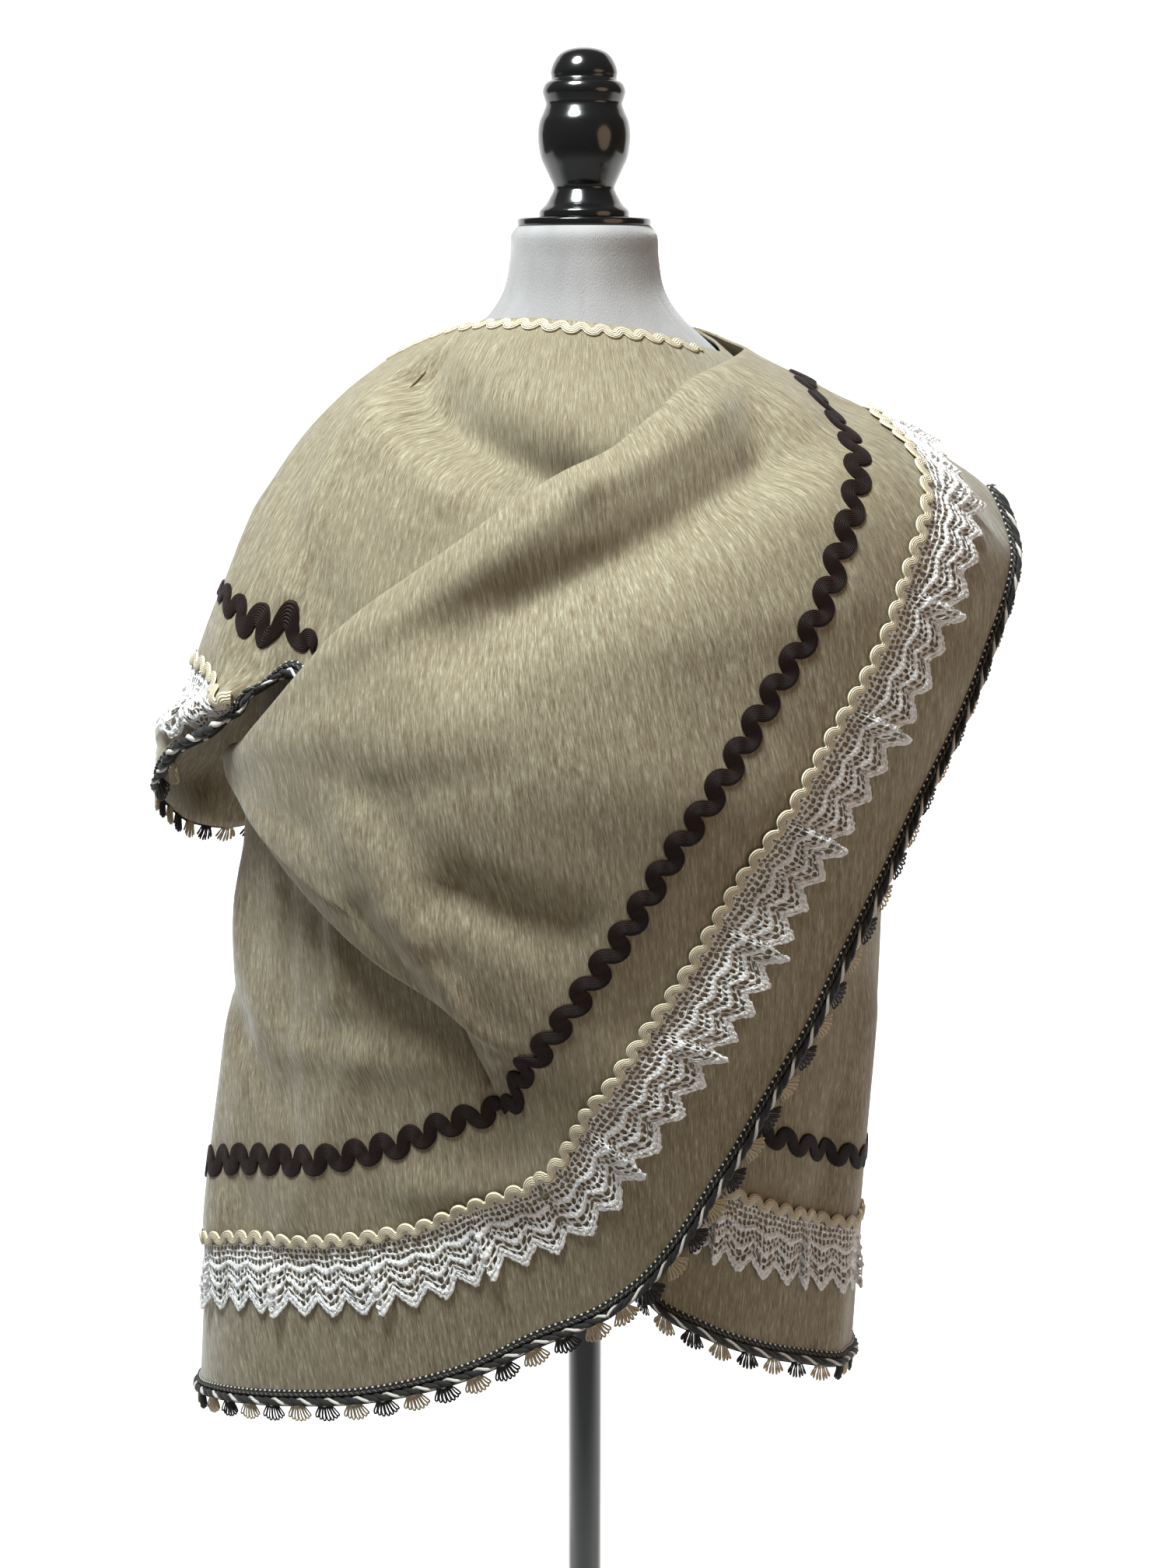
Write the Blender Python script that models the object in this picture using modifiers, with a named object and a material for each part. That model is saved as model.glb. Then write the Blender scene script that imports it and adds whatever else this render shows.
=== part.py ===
"""Flamenco shawl on a dress form.

A large cloth with rounded ends is wound round a limbless form: it covers the back,
its left end crosses the chest and hangs over the right shoulder, and its right end
crosses the front again and hangs over the left shoulder. The front faces -Y, the
floor is z = 0 and the origin is the middle of the base. Sizes are in metres.

Places on the cloth are given by a turn in degrees round the form (0 is the middle of
the front, +90 is the side at +X, -90 the side at -X, and -180 the middle of the back),
a height, and a stand-off from the innermost layer.
"""

import math
from collections import namedtuple

import bmesh
import bpy
import numpy as np

NAME = "flamenco_shawl"

# Cloth and trims
CLOTH_WALL = 0.0020
SEAM_GAP = 0.0003
SIDE_SEAM_SHARE = 0.0006
FRONT_SEAM_SHARE = 0.00024
TRIM_END = 0.03
TRIM_GAP = 0.0005
COLUMN_WIDTH = 0.035
HEM_ROWS = (0.0, 0.045, 0.067, 0.126, 0.146, 0.209)
TOP_CROWDING = 1.7
TOP_SHARE = 0.6
MOST_TRIMMED = 0.93
NECK_ROW = 0.016
BRAID_TOP = 0.013
BRAID_WALL = 0.0024
BRAID_NOTCH = 0.004
BRAID_FAN = 0.018
LACE_DROP = 0.0095
LACE_TIP = 0.0685
LACE_NOTCH = 0.082
LACE_WALL = 0.0012
LACE_RUFFLE = 0.005
LACE_TUCK = 1.35
CREAM_LINE = 0.135
CREAM_BAND = 0.0075
CREAM_WAVE = 0.0032
BROWN_LINE = 0.195
BROWN_BAND = 0.011
BROWN_WAVE = 0.0065
BRAID_RIDGE = 0.0016
NECK_LINE = 0.008
NECK_BAND = 0.007
NECK_WAVE = 0.0030
ROLL_STEP = 0.0065
ROLL_ANGLES = (60, 150)
ROLL_LEAST = 0.15

# Dress form
BASE_RADIUS = 0.175
BASE_HEIGHT = 0.032
POLE_RADIUS = 0.015
FORM_BOTTOM = 0.700
FORM_TOP = 1.434
PLATE_RADIUS = 0.053
PLATE_HEIGHT = 0.006
ROUND_STEPS = 24

# The innermost layer of cloth, as level rings
Ring = namedtuple("Ring", "height left right front back")
CLOTH_RINGS = (
    Ring(0.400, 0.350, 0.236, 0.176, 0.190),
    Ring(0.600, 0.332, 0.243, 0.180, 0.182),
    Ring(0.750, 0.308, 0.250, 0.186, 0.172),
    Ring(0.900, 0.284, 0.252, 0.190, 0.162),
    Ring(1.000, 0.274, 0.250, 0.192, 0.156),
    Ring(1.100, 0.262, 0.246, 0.186, 0.152),
    Ring(1.200, 0.234, 0.230, 0.164, 0.146),
    Ring(1.250, 0.210, 0.208, 0.144, 0.136),
    Ring(1.290, 0.178, 0.172, 0.122, 0.120),
    Ring(1.320, 0.142, 0.132, 0.100, 0.102),
    Ring(1.345, 0.106, 0.102, 0.084, 0.086),
    Ring(1.365, 0.081, 0.080, 0.073, 0.074),
    Ring(1.385, 0.070, 0.070, 0.068, 0.068),
)

# The form under it: bottom, hips, waist, bust, shoulders and neck
FORM_RINGS = (
    Ring(0.700, 0.146, 0.146, 0.098, 0.106),
    Ring(0.712, 0.156, 0.156, 0.107, 0.115),
    Ring(0.780, 0.164, 0.164, 0.112, 0.122),
    Ring(0.860, 0.154, 0.154, 0.106, 0.116),
    Ring(0.940, 0.127, 0.127, 0.093, 0.097),
    Ring(1.000, 0.116, 0.116, 0.090, 0.086),
    Ring(1.070, 0.127, 0.127, 0.106, 0.088),
    Ring(1.140, 0.144, 0.144, 0.128, 0.095),
    Ring(1.200, 0.158, 0.158, 0.126, 0.104),
    Ring(1.250, 0.174, 0.174, 0.114, 0.110),
    Ring(1.290, 0.1580, 0.1580, 0.100, 0.1030),
    Ring(1.320, 0.1265, 0.1265, 0.084, 0.0925),
    Ring(1.345, 0.0992, 0.0992, 0.0750, 0.0812),
    Ring(1.365, 0.0772, 0.0772, 0.0670, 0.0702),
    Ring(1.385, 0.0640, 0.0640, 0.0610, 0.0620),
    Ring(1.410, 0.0590, 0.0590, 0.0580, 0.0580),
    Ring(1.428, 0.0576, 0.0576, 0.0576, 0.0576),
    Ring(1.434, 0.0530, 0.0530, 0.0530, 0.0530),
)

# Each rib of cloth runs from the hem to the top edge
Rib = namedtuple(
    "Rib", "hem_turn hem_height hem_off top_turn top_height top_off bulge gather fold",
    defaults=(0.0,),
)

BACK_RIBS = (
    Rib(4.5, 0.588, 0.010, -62, 1.335, 0.003, 0.000, 1.0),
    Rib(-5.4, 0.561, 0.005, -66, 1.338, 0.001, 0.000, 1.0),
    Rib(-16.3, 0.523, 0.002, -72, 1.342, 0.000, 0.000, 1.0),
    Rib(-30.7, 0.491, 0.001, -80, 1.348, 0.000, 0.000, 1.0),
    Rib(-47, 0.468, 0.000, -88, 1.352, 0.000, 0.000, 1.0),
    Rib(-66, 0.444, 0.000, -96, 1.356, 0.000, 0.000, 1.0),
    Rib(-86, 0.420, 0.000, -106, 1.361, 0.000, 0.000, 1.0),
    Rib(-108, 0.410, 0.000, -118, 1.365, 0.000, 0.000, 1.0),
    Rib(-132, 0.408, 0.000, -135, 1.368, 0.000, 0.000, 1.0),
    Rib(-156, 0.408, 0.000, -157, 1.370, 0.000, 0.000, 1.0),
    Rib(-180, 0.412, 0.000, -180, 1.370, 0.000, 0.000, 1.0),
    Rib(-204, 0.420, 0.000, -203, 1.370, 0.000, 0.000, 1.0),
    Rib(-228, 0.434, 0.000, -226, 1.366, 0.000, 0.000, 1.0),
    Rib(-250, 0.448, 0.000, -248, 1.358, 0.000, 0.000, 1.0),
    Rib(-268, 0.456, 0.001, -268, 1.348, 0.001, 0.000, 1.0),
)

LEFT_RIBS = (
    Rib(92, 0.456, 0.001, 92, 1.348, 0.001, 0.000, 1.0),
    Rib(80, 0.464, 0.002, 78, 1.342, 0.003, 0.000, 1.0),
    Rib(66, 0.482, 0.002, 66, 1.335, 0.005, 0.000, 1.0),
    Rib(52, 0.502, 0.002, 56, 1.337, 0.006, 0.002, 1.0),
    Rib(35.5, 0.531, 0.003, 46, 1.342, 0.007, 0.003, 1.0),
    Rib(22.8, 0.560, 0.003, 36, 1.347, 0.008, 0.004, 1.0),
    Rib(12, 0.596, 0.003, 26, 1.352, 0.008, 0.004, 1.0),
    Rib(2, 0.680, 0.002, 15, 1.355, 0.008, 0.004, 1.0),
    Rib(-9, 0.789, 0.003, 4, 1.358, 0.008, 0.004, 1.0),
    Rib(-25, 0.924, 0.010, -10, 1.360, 0.008, 0.004, 1.0),
    Rib(-38, 1.020, 0.014, -24, 1.361, 0.008, 0.003, 0.42),
    Rib(-53, 1.094, 0.018, -42, 1.359, 0.008, 0.002, 0.20),
    Rib(-63, 1.050, 0.042, -62, 1.355, 0.008, 0.002, 0.38),
    Rib(-72, 1.022, 0.062, -80, 1.343, 0.011, -0.002, 0.60),
    Rib(-80, 0.985, 0.078, -92, 1.322, 0.017, -0.006, 0.82),
    Rib(-92, 0.952, 0.074, -104, 1.318, 0.020, -0.006, 0.96),
    Rib(-106, 0.915, 0.078, -114, 1.326, 0.018, -0.004, 1.0),
    Rib(-118, 0.903, 0.076, -124, 1.338, 0.014, 0.000, 1.0),
    Rib(-132, 0.935, 0.056, -133, 1.348, 0.011, 0.002, 1.0),
    Rib(-146, 1.000, 0.034, -140, 1.355, 0.010, 0.003, 1.0),
    Rib(-157, 1.080, 0.020, -145, 1.359, 0.009, 0.002, 1.0),
    Rib(-165, 1.170, 0.013, -148, 1.361, 0.009, 0.001, 0.85),
    Rib(-168, 1.262, 0.011, -149, 1.362, 0.009, 0.000, 0.50),
)

RIGHT_RIBS = (
    Rib(4.5, 0.588, 0.010, -14.1, 0.803, 0.008, 0.000, 1.0, 0.0),
    Rib(11.8, 0.615, 0.012, -15.6, 0.818, 0.011, 0.004, 1.0, 0.05),
    Rib(18.0, 0.651, 0.015, -17.5, 0.836, 0.015, 0.006, 1.0, 0.3),
    Rib(24.1, 0.696, 0.017, -20.5, 0.854, 0.021, 0.007, 1.0, 0.6),
    Rib(28.6, 0.729, 0.019, -34, 0.895, 0.030, 0.009, 1.0, 1.0),
    Rib(32.0, 0.757, 0.021, -56, 0.974, 0.036, 0.012, 1.0, 1.0),
    Rib(35.0, 0.780, 0.023, -71, 1.014, 0.035, 0.014, 1.0, 0.7),
    Rib(38.0, 0.803, 0.026, -62, 1.032, 0.037, 0.013, 1.0, 0.8),
    Rib(41.0, 0.826, 0.029, -52.7, 1.070, 0.040, 0.012, 1.0, 1.0),
    Rib(46.3, 0.875, 0.034, -38.6, 1.136, 0.036, 0.012, 1.0, 1.0),
    Rib(53, 0.930, 0.042, -27, 1.177, 0.032, 0.012, 1.0, 1.0),
    Rib(60.7, 0.984, 0.050, -16, 1.212, 0.030, 0.012, 1.0, 1.0),
    Rib(68, 1.040, 0.066, -5, 1.241, 0.029, 0.010, 1.0, 1.0),
    Rib(74, 1.095, 0.086, 6, 1.261, 0.027, 0.008, 1.0, 1.0),
    Rib(79, 1.140, 0.105, 17, 1.284, 0.026, 0.004, 1.0, 0.8),
    Rib(84, 1.167, 0.112, 34, 1.307, 0.023, -0.002, 1.0, 0.5),
    Rib(90, 1.198, 0.106, 66, 1.322, 0.018, -0.014, 1.0, 0.2),
    Rib(99, 1.165, 0.098, 98, 1.333, 0.012, -0.014, 1.0, 0.0),
    Rib(109, 1.110, 0.078, 112, 1.339, 0.012, -0.008, 1.0, 0.0),
    Rib(121, 1.055, 0.056, 121, 1.343, 0.012, 0.000, 1.0, 0.0),
    Rib(135, 1.035, 0.036, 129, 1.345, 0.012, 0.002, 1.0, 0.0),
    Rib(149, 1.055, 0.022, 136, 1.346, 0.012, 0.003, 1.0, 0.0),
    Rib(160, 1.120, 0.014, 141, 1.347, 0.012, 0.002, 1.0, 0.0),
    Rib(166, 1.200, 0.012, 144, 1.347, 0.012, 0.001, 0.75, 0.0),
    Rib(168, 1.275, 0.012, 145, 1.347, 0.012, 0.000, 0.45, 0.0),
)

# The largest folds: ridges rise and troughs fall along a line on the cloth
Fold = namedtuple("Fold", "turn_from height_from turn_to height_to width rise")

BACK_FOLDS = (
    Fold(-44, 0.93, -42, 0.84, 0.016, 0.008),
    Fold(-78, 0.98, -76, 0.60, 0.030, 0.008),
    Fold(-118, 0.38, -121, 0.80, 0.030, 0.013),
    Fold(-146, 0.38, -147, 0.86, 0.028, 0.012),
    Fold(-172, 0.38, -173, 0.90, 0.032, 0.014),
    Fold(-200, 0.38, -199, 0.84, 0.028, 0.012),
    Fold(-226, 0.38, -222, 0.80, 0.030, 0.013),
)

LEFT_FOLDS = (
    Fold(-38, 1.300, 6, 1.235, 0.026, -0.010),
    Fold(-62, 1.072, -104, 0.957, 0.018, 0.014),
    Fold(60, 0.48, 66, 0.80, 0.030, 0.008),
    Fold(-136, 1.24, -140, 1.06, 0.024, 0.008),
)

RIGHT_FOLDS = (
    Fold(38, 1.262, -18, 1.135, 0.030, -0.017),
    Fold(-34, 0.995, -23, 0.920, 0.016, 0.009),
    Fold(-30, 1.060, 26, 1.020, 0.040, 0.006),
    Fold(8, 0.860, 28, 0.960, 0.034, -0.006),
    Fold(118, 1.24, 126, 1.10, 0.024, 0.008),
)

DEGREE_LENGTH = 0.0042


def clear_scene():
    """Remove every object, mesh, curve and material of the open file."""
    for item in list(bpy.data.objects):
        bpy.data.objects.remove(item, do_unlink=True)
    for store in (bpy.data.meshes, bpy.data.curves, bpy.data.materials):
        for item in list(store):
            store.remove(item)


def make_collection():
    """Return a fresh collection named for the object."""
    group = bpy.data.collections.new(NAME)
    bpy.context.scene.collection.children.link(group)
    return group


def make_material(name, colour, roughness, metallic=0.0):
    """Return a Principled material."""
    material = bpy.data.materials.new(name)
    material.use_nodes = True
    shader = material.node_tree.nodes["Principled BSDF"]
    shader.inputs["Base Color"].default_value = (*colour, 1.0)
    shader.inputs["Roughness"].default_value = roughness
    shader.inputs["Metallic"].default_value = metallic
    return material


def place_mesh(mesh, name, material, group):
    """Add a mesh to the collection as a named object with its material."""
    item = bpy.data.objects.new(name, mesh)
    mesh.name = name
    mesh.materials.append(material)
    mesh.shade_smooth()
    group.objects.link(item)
    return item


def ring_sizes(rings, height):
    """Return the half-widths and depths at a height, on a smooth curve."""
    table = np.array(rings)
    heights = table[:, 0]
    height = min(max(height, heights[0]), heights[-1])
    low = min(max(int(np.searchsorted(heights, height)) - 1, 0), len(heights) - 2)
    step = heights[low + 1] - heights[low]
    part = (height - heights[low]) / step

    def slope(row):
        before = max(row - 1, 0)
        after = min(row + 1, len(heights) - 1)
        return (table[after, 1:] - table[before, 1:]) / (heights[after] - heights[before])

    return (
        (2 * part**3 - 3 * part**2 + 1) * table[low, 1:]
        + (part**3 - 2 * part**2 + part) * step * slope(low)
        + (3 * part**2 - 2 * part**3) * table[low + 1, 1:]
        + (part**3 - part**2) * step * slope(low + 1)
    )


def ring_point(rings, turn, height):
    """Return the point of a ringed shape at a turn in degrees and a height."""
    left, right, front, back = ring_sizes(rings, height)
    across = math.sin(math.radians(turn))
    ahead = math.cos(math.radians(turn))
    half_width = right if across > 0 else left
    depth = front if ahead > 0 else back
    return np.array([half_width * across, -depth * ahead, height])


def cloth_place(turn, height, off):
    """Return the point that stands off the innermost layer of cloth."""
    small_turn = 0.06
    small_rise = 0.001
    around = ring_point(CLOTH_RINGS, turn + small_turn, height)
    around = around - ring_point(CLOTH_RINGS, turn - small_turn, height)
    upward = ring_point(CLOTH_RINGS, turn, height + small_rise)
    upward = upward - ring_point(CLOTH_RINGS, turn, height - small_rise)
    normal = np.cross(around, upward)
    normal = normal / np.linalg.norm(normal)
    return ring_point(CLOTH_RINGS, turn, height) + normal * off


def rib_at(ribs, place):
    """Return the rib at a fractional row, on a smooth curve through the rows."""
    table = np.array(ribs)
    row = min(max(int(place), 0), len(table) - 2)
    part = place - row
    before = table[max(row - 1, 0)]
    start = table[row]
    end = table[row + 1]
    after = table[min(row + 2, len(table) - 1)]
    tangent_start = (end - before) / 2
    tangent_end = (after - start) / 2
    return Rib(*(
        (2 * part**3 - 3 * part**2 + 1) * start
        + (part**3 - 2 * part**2 + part) * tangent_start
        + (3 * part**2 - 2 * part**3) * end
        + (part**3 - part**2) * tangent_end
    ))


def fold_height(folds, turn, height):
    """Return how far the folds lift the cloth at a place."""
    total = 0.0
    for fold in folds:
        start = np.array([fold.turn_from * DEGREE_LENGTH, fold.height_from])
        end = np.array([fold.turn_to * DEGREE_LENGTH, fold.height_to])
        here = np.array([turn * DEGREE_LENGTH, height])
        along = np.dot(here - start, end - start) / np.dot(end - start, end - start)
        nearest = start + (end - start) * min(max(along, 0.0), 1.0)
        distance = np.linalg.norm(here - nearest) / fold.width
        total += fold.rise * math.exp(-distance * distance)
    return total


def rib_point(rib, part, folds):
    """Return the point at a part of the way up a rib."""
    turn = rib.hem_turn + (rib.top_turn - rib.hem_turn) * part
    height = rib.hem_height + (rib.top_height - rib.hem_height) * part
    off = rib.hem_off + (rib.top_off - rib.hem_off) * part
    off += rib.bulge * 4 * part * (1 - part)
    off += fold_height(folds, turn, height)
    return cloth_place(turn, height, off)


def rib_rows(rib, folds, upper_rows):
    """Return the points of a rib's rows, from the hem to the top edge."""
    samples = 40
    parts = np.linspace(0.0, 1.0, samples + 1)
    points = np.array([rib_point(rib, part, folds) for part in parts])
    steps = np.linalg.norm(np.diff(points, axis=0), axis=1)
    lengths = np.concatenate([[0.0], np.cumsum(steps)])
    total = lengths[-1]
    hem_scale = min(rib.gather, MOST_TRIMMED * total / HEM_ROWS[-1])
    wanted = [row * hem_scale for row in HEM_ROWS]
    last = wanted[-1]
    top = total - min(NECK_ROW, (total - last) / 3)
    for k in range(1, upper_rows + 1):
        wanted.append(last + (top - last) * (1 - (1 - k / upper_rows) ** TOP_CROWDING))
    wanted.append(total)
    row_parts = np.interp(wanted, lengths, parts)
    return [rib_point(rib, part, folds) for part in row_parts]


def hem_places(ribs, folds):
    """Return the rows of the rib table at even steps along the hem or the top edge."""
    fine = np.linspace(0.0, len(ribs) - 1.0, 8 * (len(ribs) - 1) + 1)
    hem = np.array([rib_point(rib_at(ribs, place), 0.0, folds) for place in fine])
    top = np.array([rib_point(rib_at(ribs, place), 1.0, folds) for place in fine])
    hem_steps = np.linalg.norm(np.diff(hem, axis=0), axis=1)
    top_steps = np.linalg.norm(np.diff(top, axis=0), axis=1)
    steps = np.maximum(hem_steps, TOP_SHARE * top_steps)
    lengths = np.concatenate([[0.0], np.cumsum(steps)])
    count = round(lengths[-1] / COLUMN_WIDTH)
    return np.interp(np.linspace(0.0, lengths[-1], count + 1), lengths, fine)


def cloth_grid(ribs, folds, upper_rows):
    """Return a sheet's middle surface, hem first, and the rib row of each column."""
    places = hem_places(ribs, folds)
    columns = [rib_rows(rib_at(ribs, place), folds, upper_rows) for place in places]
    return np.array(columns).transpose(1, 0, 2), places


def unit(vectors):
    """Return vectors made one long."""
    return vectors / np.linalg.norm(vectors, axis=-1, keepdims=True)


def grid_normals(grid):
    """Return the outward unit normal at each point of a grid."""
    along = np.gradient(grid, axis=1)
    up = np.gradient(grid, axis=0)
    normals = np.cross(along, up)
    normals /= np.linalg.norm(normals, axis=2, keepdims=True)
    outward = grid * np.array([1.0, 1.0, 0.0])
    if np.sum(normals * outward) < 0:
        normals = -normals
    return normals


def rolled_edge(grid, folds):
    """Return a grid with two more rows that roll its top edge under, by each fold."""
    edge = unit(np.gradient(grid[-1], axis=0))
    facing = np.cross(edge, unit(grid[-1] - grid[-3]))
    if np.sum(facing * grid[-1] * np.array([1.0, 1.0, 0.0])) < 0:
        facing = -facing
    padded = np.pad(facing, ((2, 2), (0, 0)), mode="edge")
    normal = unit(sum(padded[k:k + len(edge)] for k in range(5)))
    ahead = unit(np.cross(edge, normal))
    if np.sum(ahead * (grid[-1] - grid[-3])) < 0:
        ahead = -ahead
    rows = [grid[-1]]
    for angle in ROLL_ANGLES:
        bend = np.radians(angle * folds)[:, None]
        step = ahead * np.cos(bend) - normal * np.sin(bend)
        reach = ROLL_STEP * np.clip(folds * 2, ROLL_LEAST, 1.0)[:, None]
        rows.append(rows[-1] + step * reach)
    return np.concatenate([grid, np.array(rows[1:])])


def trim_seam(grid, column, share):
    """Move one end column back along its rows, to leave the gap of a seam."""
    neighbour = 1 if column == 0 else -2
    step = grid[:, neighbour] - grid[:, column]
    step /= np.linalg.norm(step, axis=1, keepdims=True)
    grid[:, column] += step * share
    return grid


def cloth_sheet(grid, name, material, group):
    """Add a sheet of cloth: an open surface with a wall.

    Each cell is split along its inner diagonal, so that trims laid on it stay clear.
    """
    rows, columns = grid.shape[:2]
    mesh = bpy.data.meshes.new(name)
    normals = grid_normals(grid)
    faces = []
    for row in range(rows - 1):
        for column in range(columns - 1):
            rising = grid[row, column] + grid[row + 1, column + 1]
            falling = grid[row, column + 1] + grid[row + 1, column]
            low_left = row * columns + column
            low_right = low_left + 1
            high_left = low_left + columns
            high_right = high_left + 1
            if np.dot(rising - falling, normals[row, column]) < 0:
                faces.append((low_left, low_right, high_right))
                faces.append((low_left, high_right, high_left))
            else:
                faces.append((low_left, low_right, high_left))
                faces.append((low_right, high_right, high_left))
    mesh.from_pydata([tuple(p) for p in grid.reshape(-1, 3)], [], faces)
    item = place_mesh(mesh, name, material, group)
    wall = item.modifiers.new("wall", "SOLIDIFY")
    wall.thickness = CLOTH_WALL
    wall.offset = 0.0
    wall.use_even_offset = False
    return item


def outer_splits(first, second):
    """Return how a flat loft's four sides are split, so that its walls match.

    Sections run top back, top front, low front, low back. The diagonal that lies
    further out is used on the front and the back.
    """
    rising = np.array(first[1]) + np.array(second[2])
    falling = np.array(first[2]) + np.array(second[1])
    outward = np.array(first[1]) - np.array(first[0])
    front = float(np.dot(rising - falling, outward)) > 0
    return True, front, True, not front


def loft(sections, name, material, group):
    """Add a closed solid through equal sections, with a cap at each end."""
    shape = bmesh.new()
    loops = [[shape.verts.new(tuple(p)) for p in section] for section in sections]
    size = len(loops[0])
    for row, (first, second) in enumerate(zip(loops, loops[1:])):
        splits = outer_splits(sections[row], sections[row + 1]) if size == 4 else ()
        for k in range(size):
            after = (k + 1) % size
            corners = (first[k], first[after], second[after], second[k])
            if not splits:
                shape.faces.new(corners)
            elif splits[k]:
                shape.faces.new(corners[:3])
                shape.faces.new((corners[0], corners[2], corners[3]))
            else:
                shape.faces.new((corners[0], corners[1], corners[3]))
                shape.faces.new(corners[1:])
    shape.faces.new(list(reversed(loops[0])))
    shape.faces.new(loops[-1])
    bmesh.ops.recalc_face_normals(shape, faces=shape.faces[:])
    mesh = bpy.data.meshes.new(name)
    shape.to_mesh(mesh)
    shape.free()
    return place_mesh(mesh, name, material, group)


class Panel:
    """The grid of a sheet, read at places for the trims that lie on it."""

    def __init__(self, grid, places):
        self.grid = grid
        self.normals = grid_normals(grid)
        self.places = places
        self.columns = grid.shape[1] - 1
        reach = np.linalg.norm(grid[2] - grid[0], axis=1)
        self.gathers = reach / HEM_ROWS[2]

    def span(self, first, last):
        """Return the whole columns nearest to two rows of the rib table."""
        ends = np.interp((first, last), self.places, range(self.columns + 1))
        return int(round(ends[0])), int(round(ends[1]))

    def blend(self, row, part, column):
        """Return the point and normal at a part of a cell's height."""
        column = min(max(column, TRIM_END), self.columns - TRIM_END)
        cell = min(int(column), self.columns - 1)
        share = column - cell
        corners = []
        for field in (self.grid, self.normals):
            low = field[row, cell] * (1 - share) + field[row, cell + 1] * share
            high = field[row + 1, cell] * (1 - share) + field[row + 1, cell + 1] * share
            corners.append(low * (1 - part) + high * part)
        point, normal = corners
        return point, normal / np.linalg.norm(normal)

    def from_hem(self, line, across, column, lift):
        """Return the point on a line of the cloth, moved across it by a real size."""
        distance = line + across / np.interp(column, range(self.columns + 1), self.gathers)
        if distance < 0:
            edge, normal = self.blend(0, 0.0, column)
            inner, _ = self.blend(0, 1.0, column)
            out = (edge - inner) / np.linalg.norm(edge - inner)
            return edge - out * across + normal * lift
        row = 0
        while row < len(HEM_ROWS) - 2 and distance > HEM_ROWS[row + 1]:
            row += 1
        part = (distance - HEM_ROWS[row]) / (HEM_ROWS[row + 1] - HEM_ROWS[row])
        point, normal = self.blend(row, part, column)
        return point + normal * lift

    def from_top(self, line, across, column, lift):
        """Return the point on a line below the top edge, moved down across it."""
        row = len(self.grid) - 2
        point, normal = self.blend(row, 1 - (line + across) / NECK_ROW, column)
        return point + normal * lift


FACE = CLOTH_WALL / 2 + TRIM_GAP


def rickrack(read, line, band, wave, span, per_column, name, material, group):
    """Add a wavy braid with a low ridge, along a line on a panel."""
    start, end = span
    sections = []
    for k in range((end - start) * per_column + 1):
        column = start + k / per_column
        middle = wave if k % 2 else -wave
        sections.append((
            read(line, middle - band / 2, column, FACE),
            read(line, middle + band / 2, column, FACE),
            read(line, middle, column, FACE + BRAID_RIDGE),
        ))
    return loft(sections, name, material, group)


def lace(panel, span, name, material, group):
    """Add a pointed, softly ruffled lace whose tips hang towards the hem."""
    start, end = span
    sections = []
    for k in range((end - start) * 2 + 1):
        column = start + k / 2
        low = LACE_TIP if k % 2 else LACE_NOTCH
        ruffle = LACE_RUFFLE * (0.5 + 0.5 * math.sin(LACE_TUCK * k))
        sections.append((
            panel.from_hem(CREAM_LINE, -LACE_DROP, column, FACE),
            panel.from_hem(CREAM_LINE, -LACE_DROP, column, FACE + LACE_WALL),
            panel.from_hem(low, 0.0, column, FACE + LACE_WALL + ruffle),
            panel.from_hem(low, 0.0, column, FACE + ruffle),
        ))
    return loft(sections, name, material, group)


def braid(panel, span, plain_columns, name, material, group):
    """Add the edge braid with its hanging loop fans, after its plain columns."""
    start, end = span
    sections = []
    for k in range((end - start) * 3 + 1):
        column = start + k / 3
        plain = k % 3 == 0 or column < start + plain_columns
        low = -BRAID_NOTCH if plain else -BRAID_FAN
        sections.append((
            panel.from_hem(0.0, BRAID_TOP, column, FACE),
            panel.from_hem(0.0, BRAID_TOP, column, FACE + BRAID_WALL),
            panel.from_hem(0.0, low, column, FACE + BRAID_WALL),
            panel.from_hem(0.0, low, column, FACE),
        ))
    return loft(sections, name, material, group)


def turned(profile, name, material, group):
    """Add a turned solid from a profile that runs down its outer side."""
    mesh = bpy.data.meshes.new(name)
    points = [(0.0, 0.0, profile[0][1])]
    points += [(radius, 0.0, height) for radius, height in profile]
    points += [(0.0, 0.0, profile[-1][1])]
    edges = [(k, k + 1) for k in range(len(points) - 1)]
    mesh.from_pydata(points, edges, [])
    item = place_mesh(mesh, name, material, group)
    screw = item.modifiers.new("turn", "SCREW")
    screw.steps = ROUND_STEPS
    screw.render_steps = ROUND_STEPS
    screw.use_merge_vertices = True
    screw.merge_threshold = 0.00005
    screw.use_smooth_shade = True
    return item


def form_body(material, group):
    """Add the limbless form: hips, waist, bust, shoulders and neck in one."""
    heights = [ring.height for ring in FORM_RINGS]
    sections = []
    for height in heights:
        sections.append([
            ring_point(FORM_RINGS, 360 * k / ROUND_STEPS, height)
            for k in range(ROUND_STEPS)
        ])
    return loft(sections, "form_body", material, group)


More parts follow.
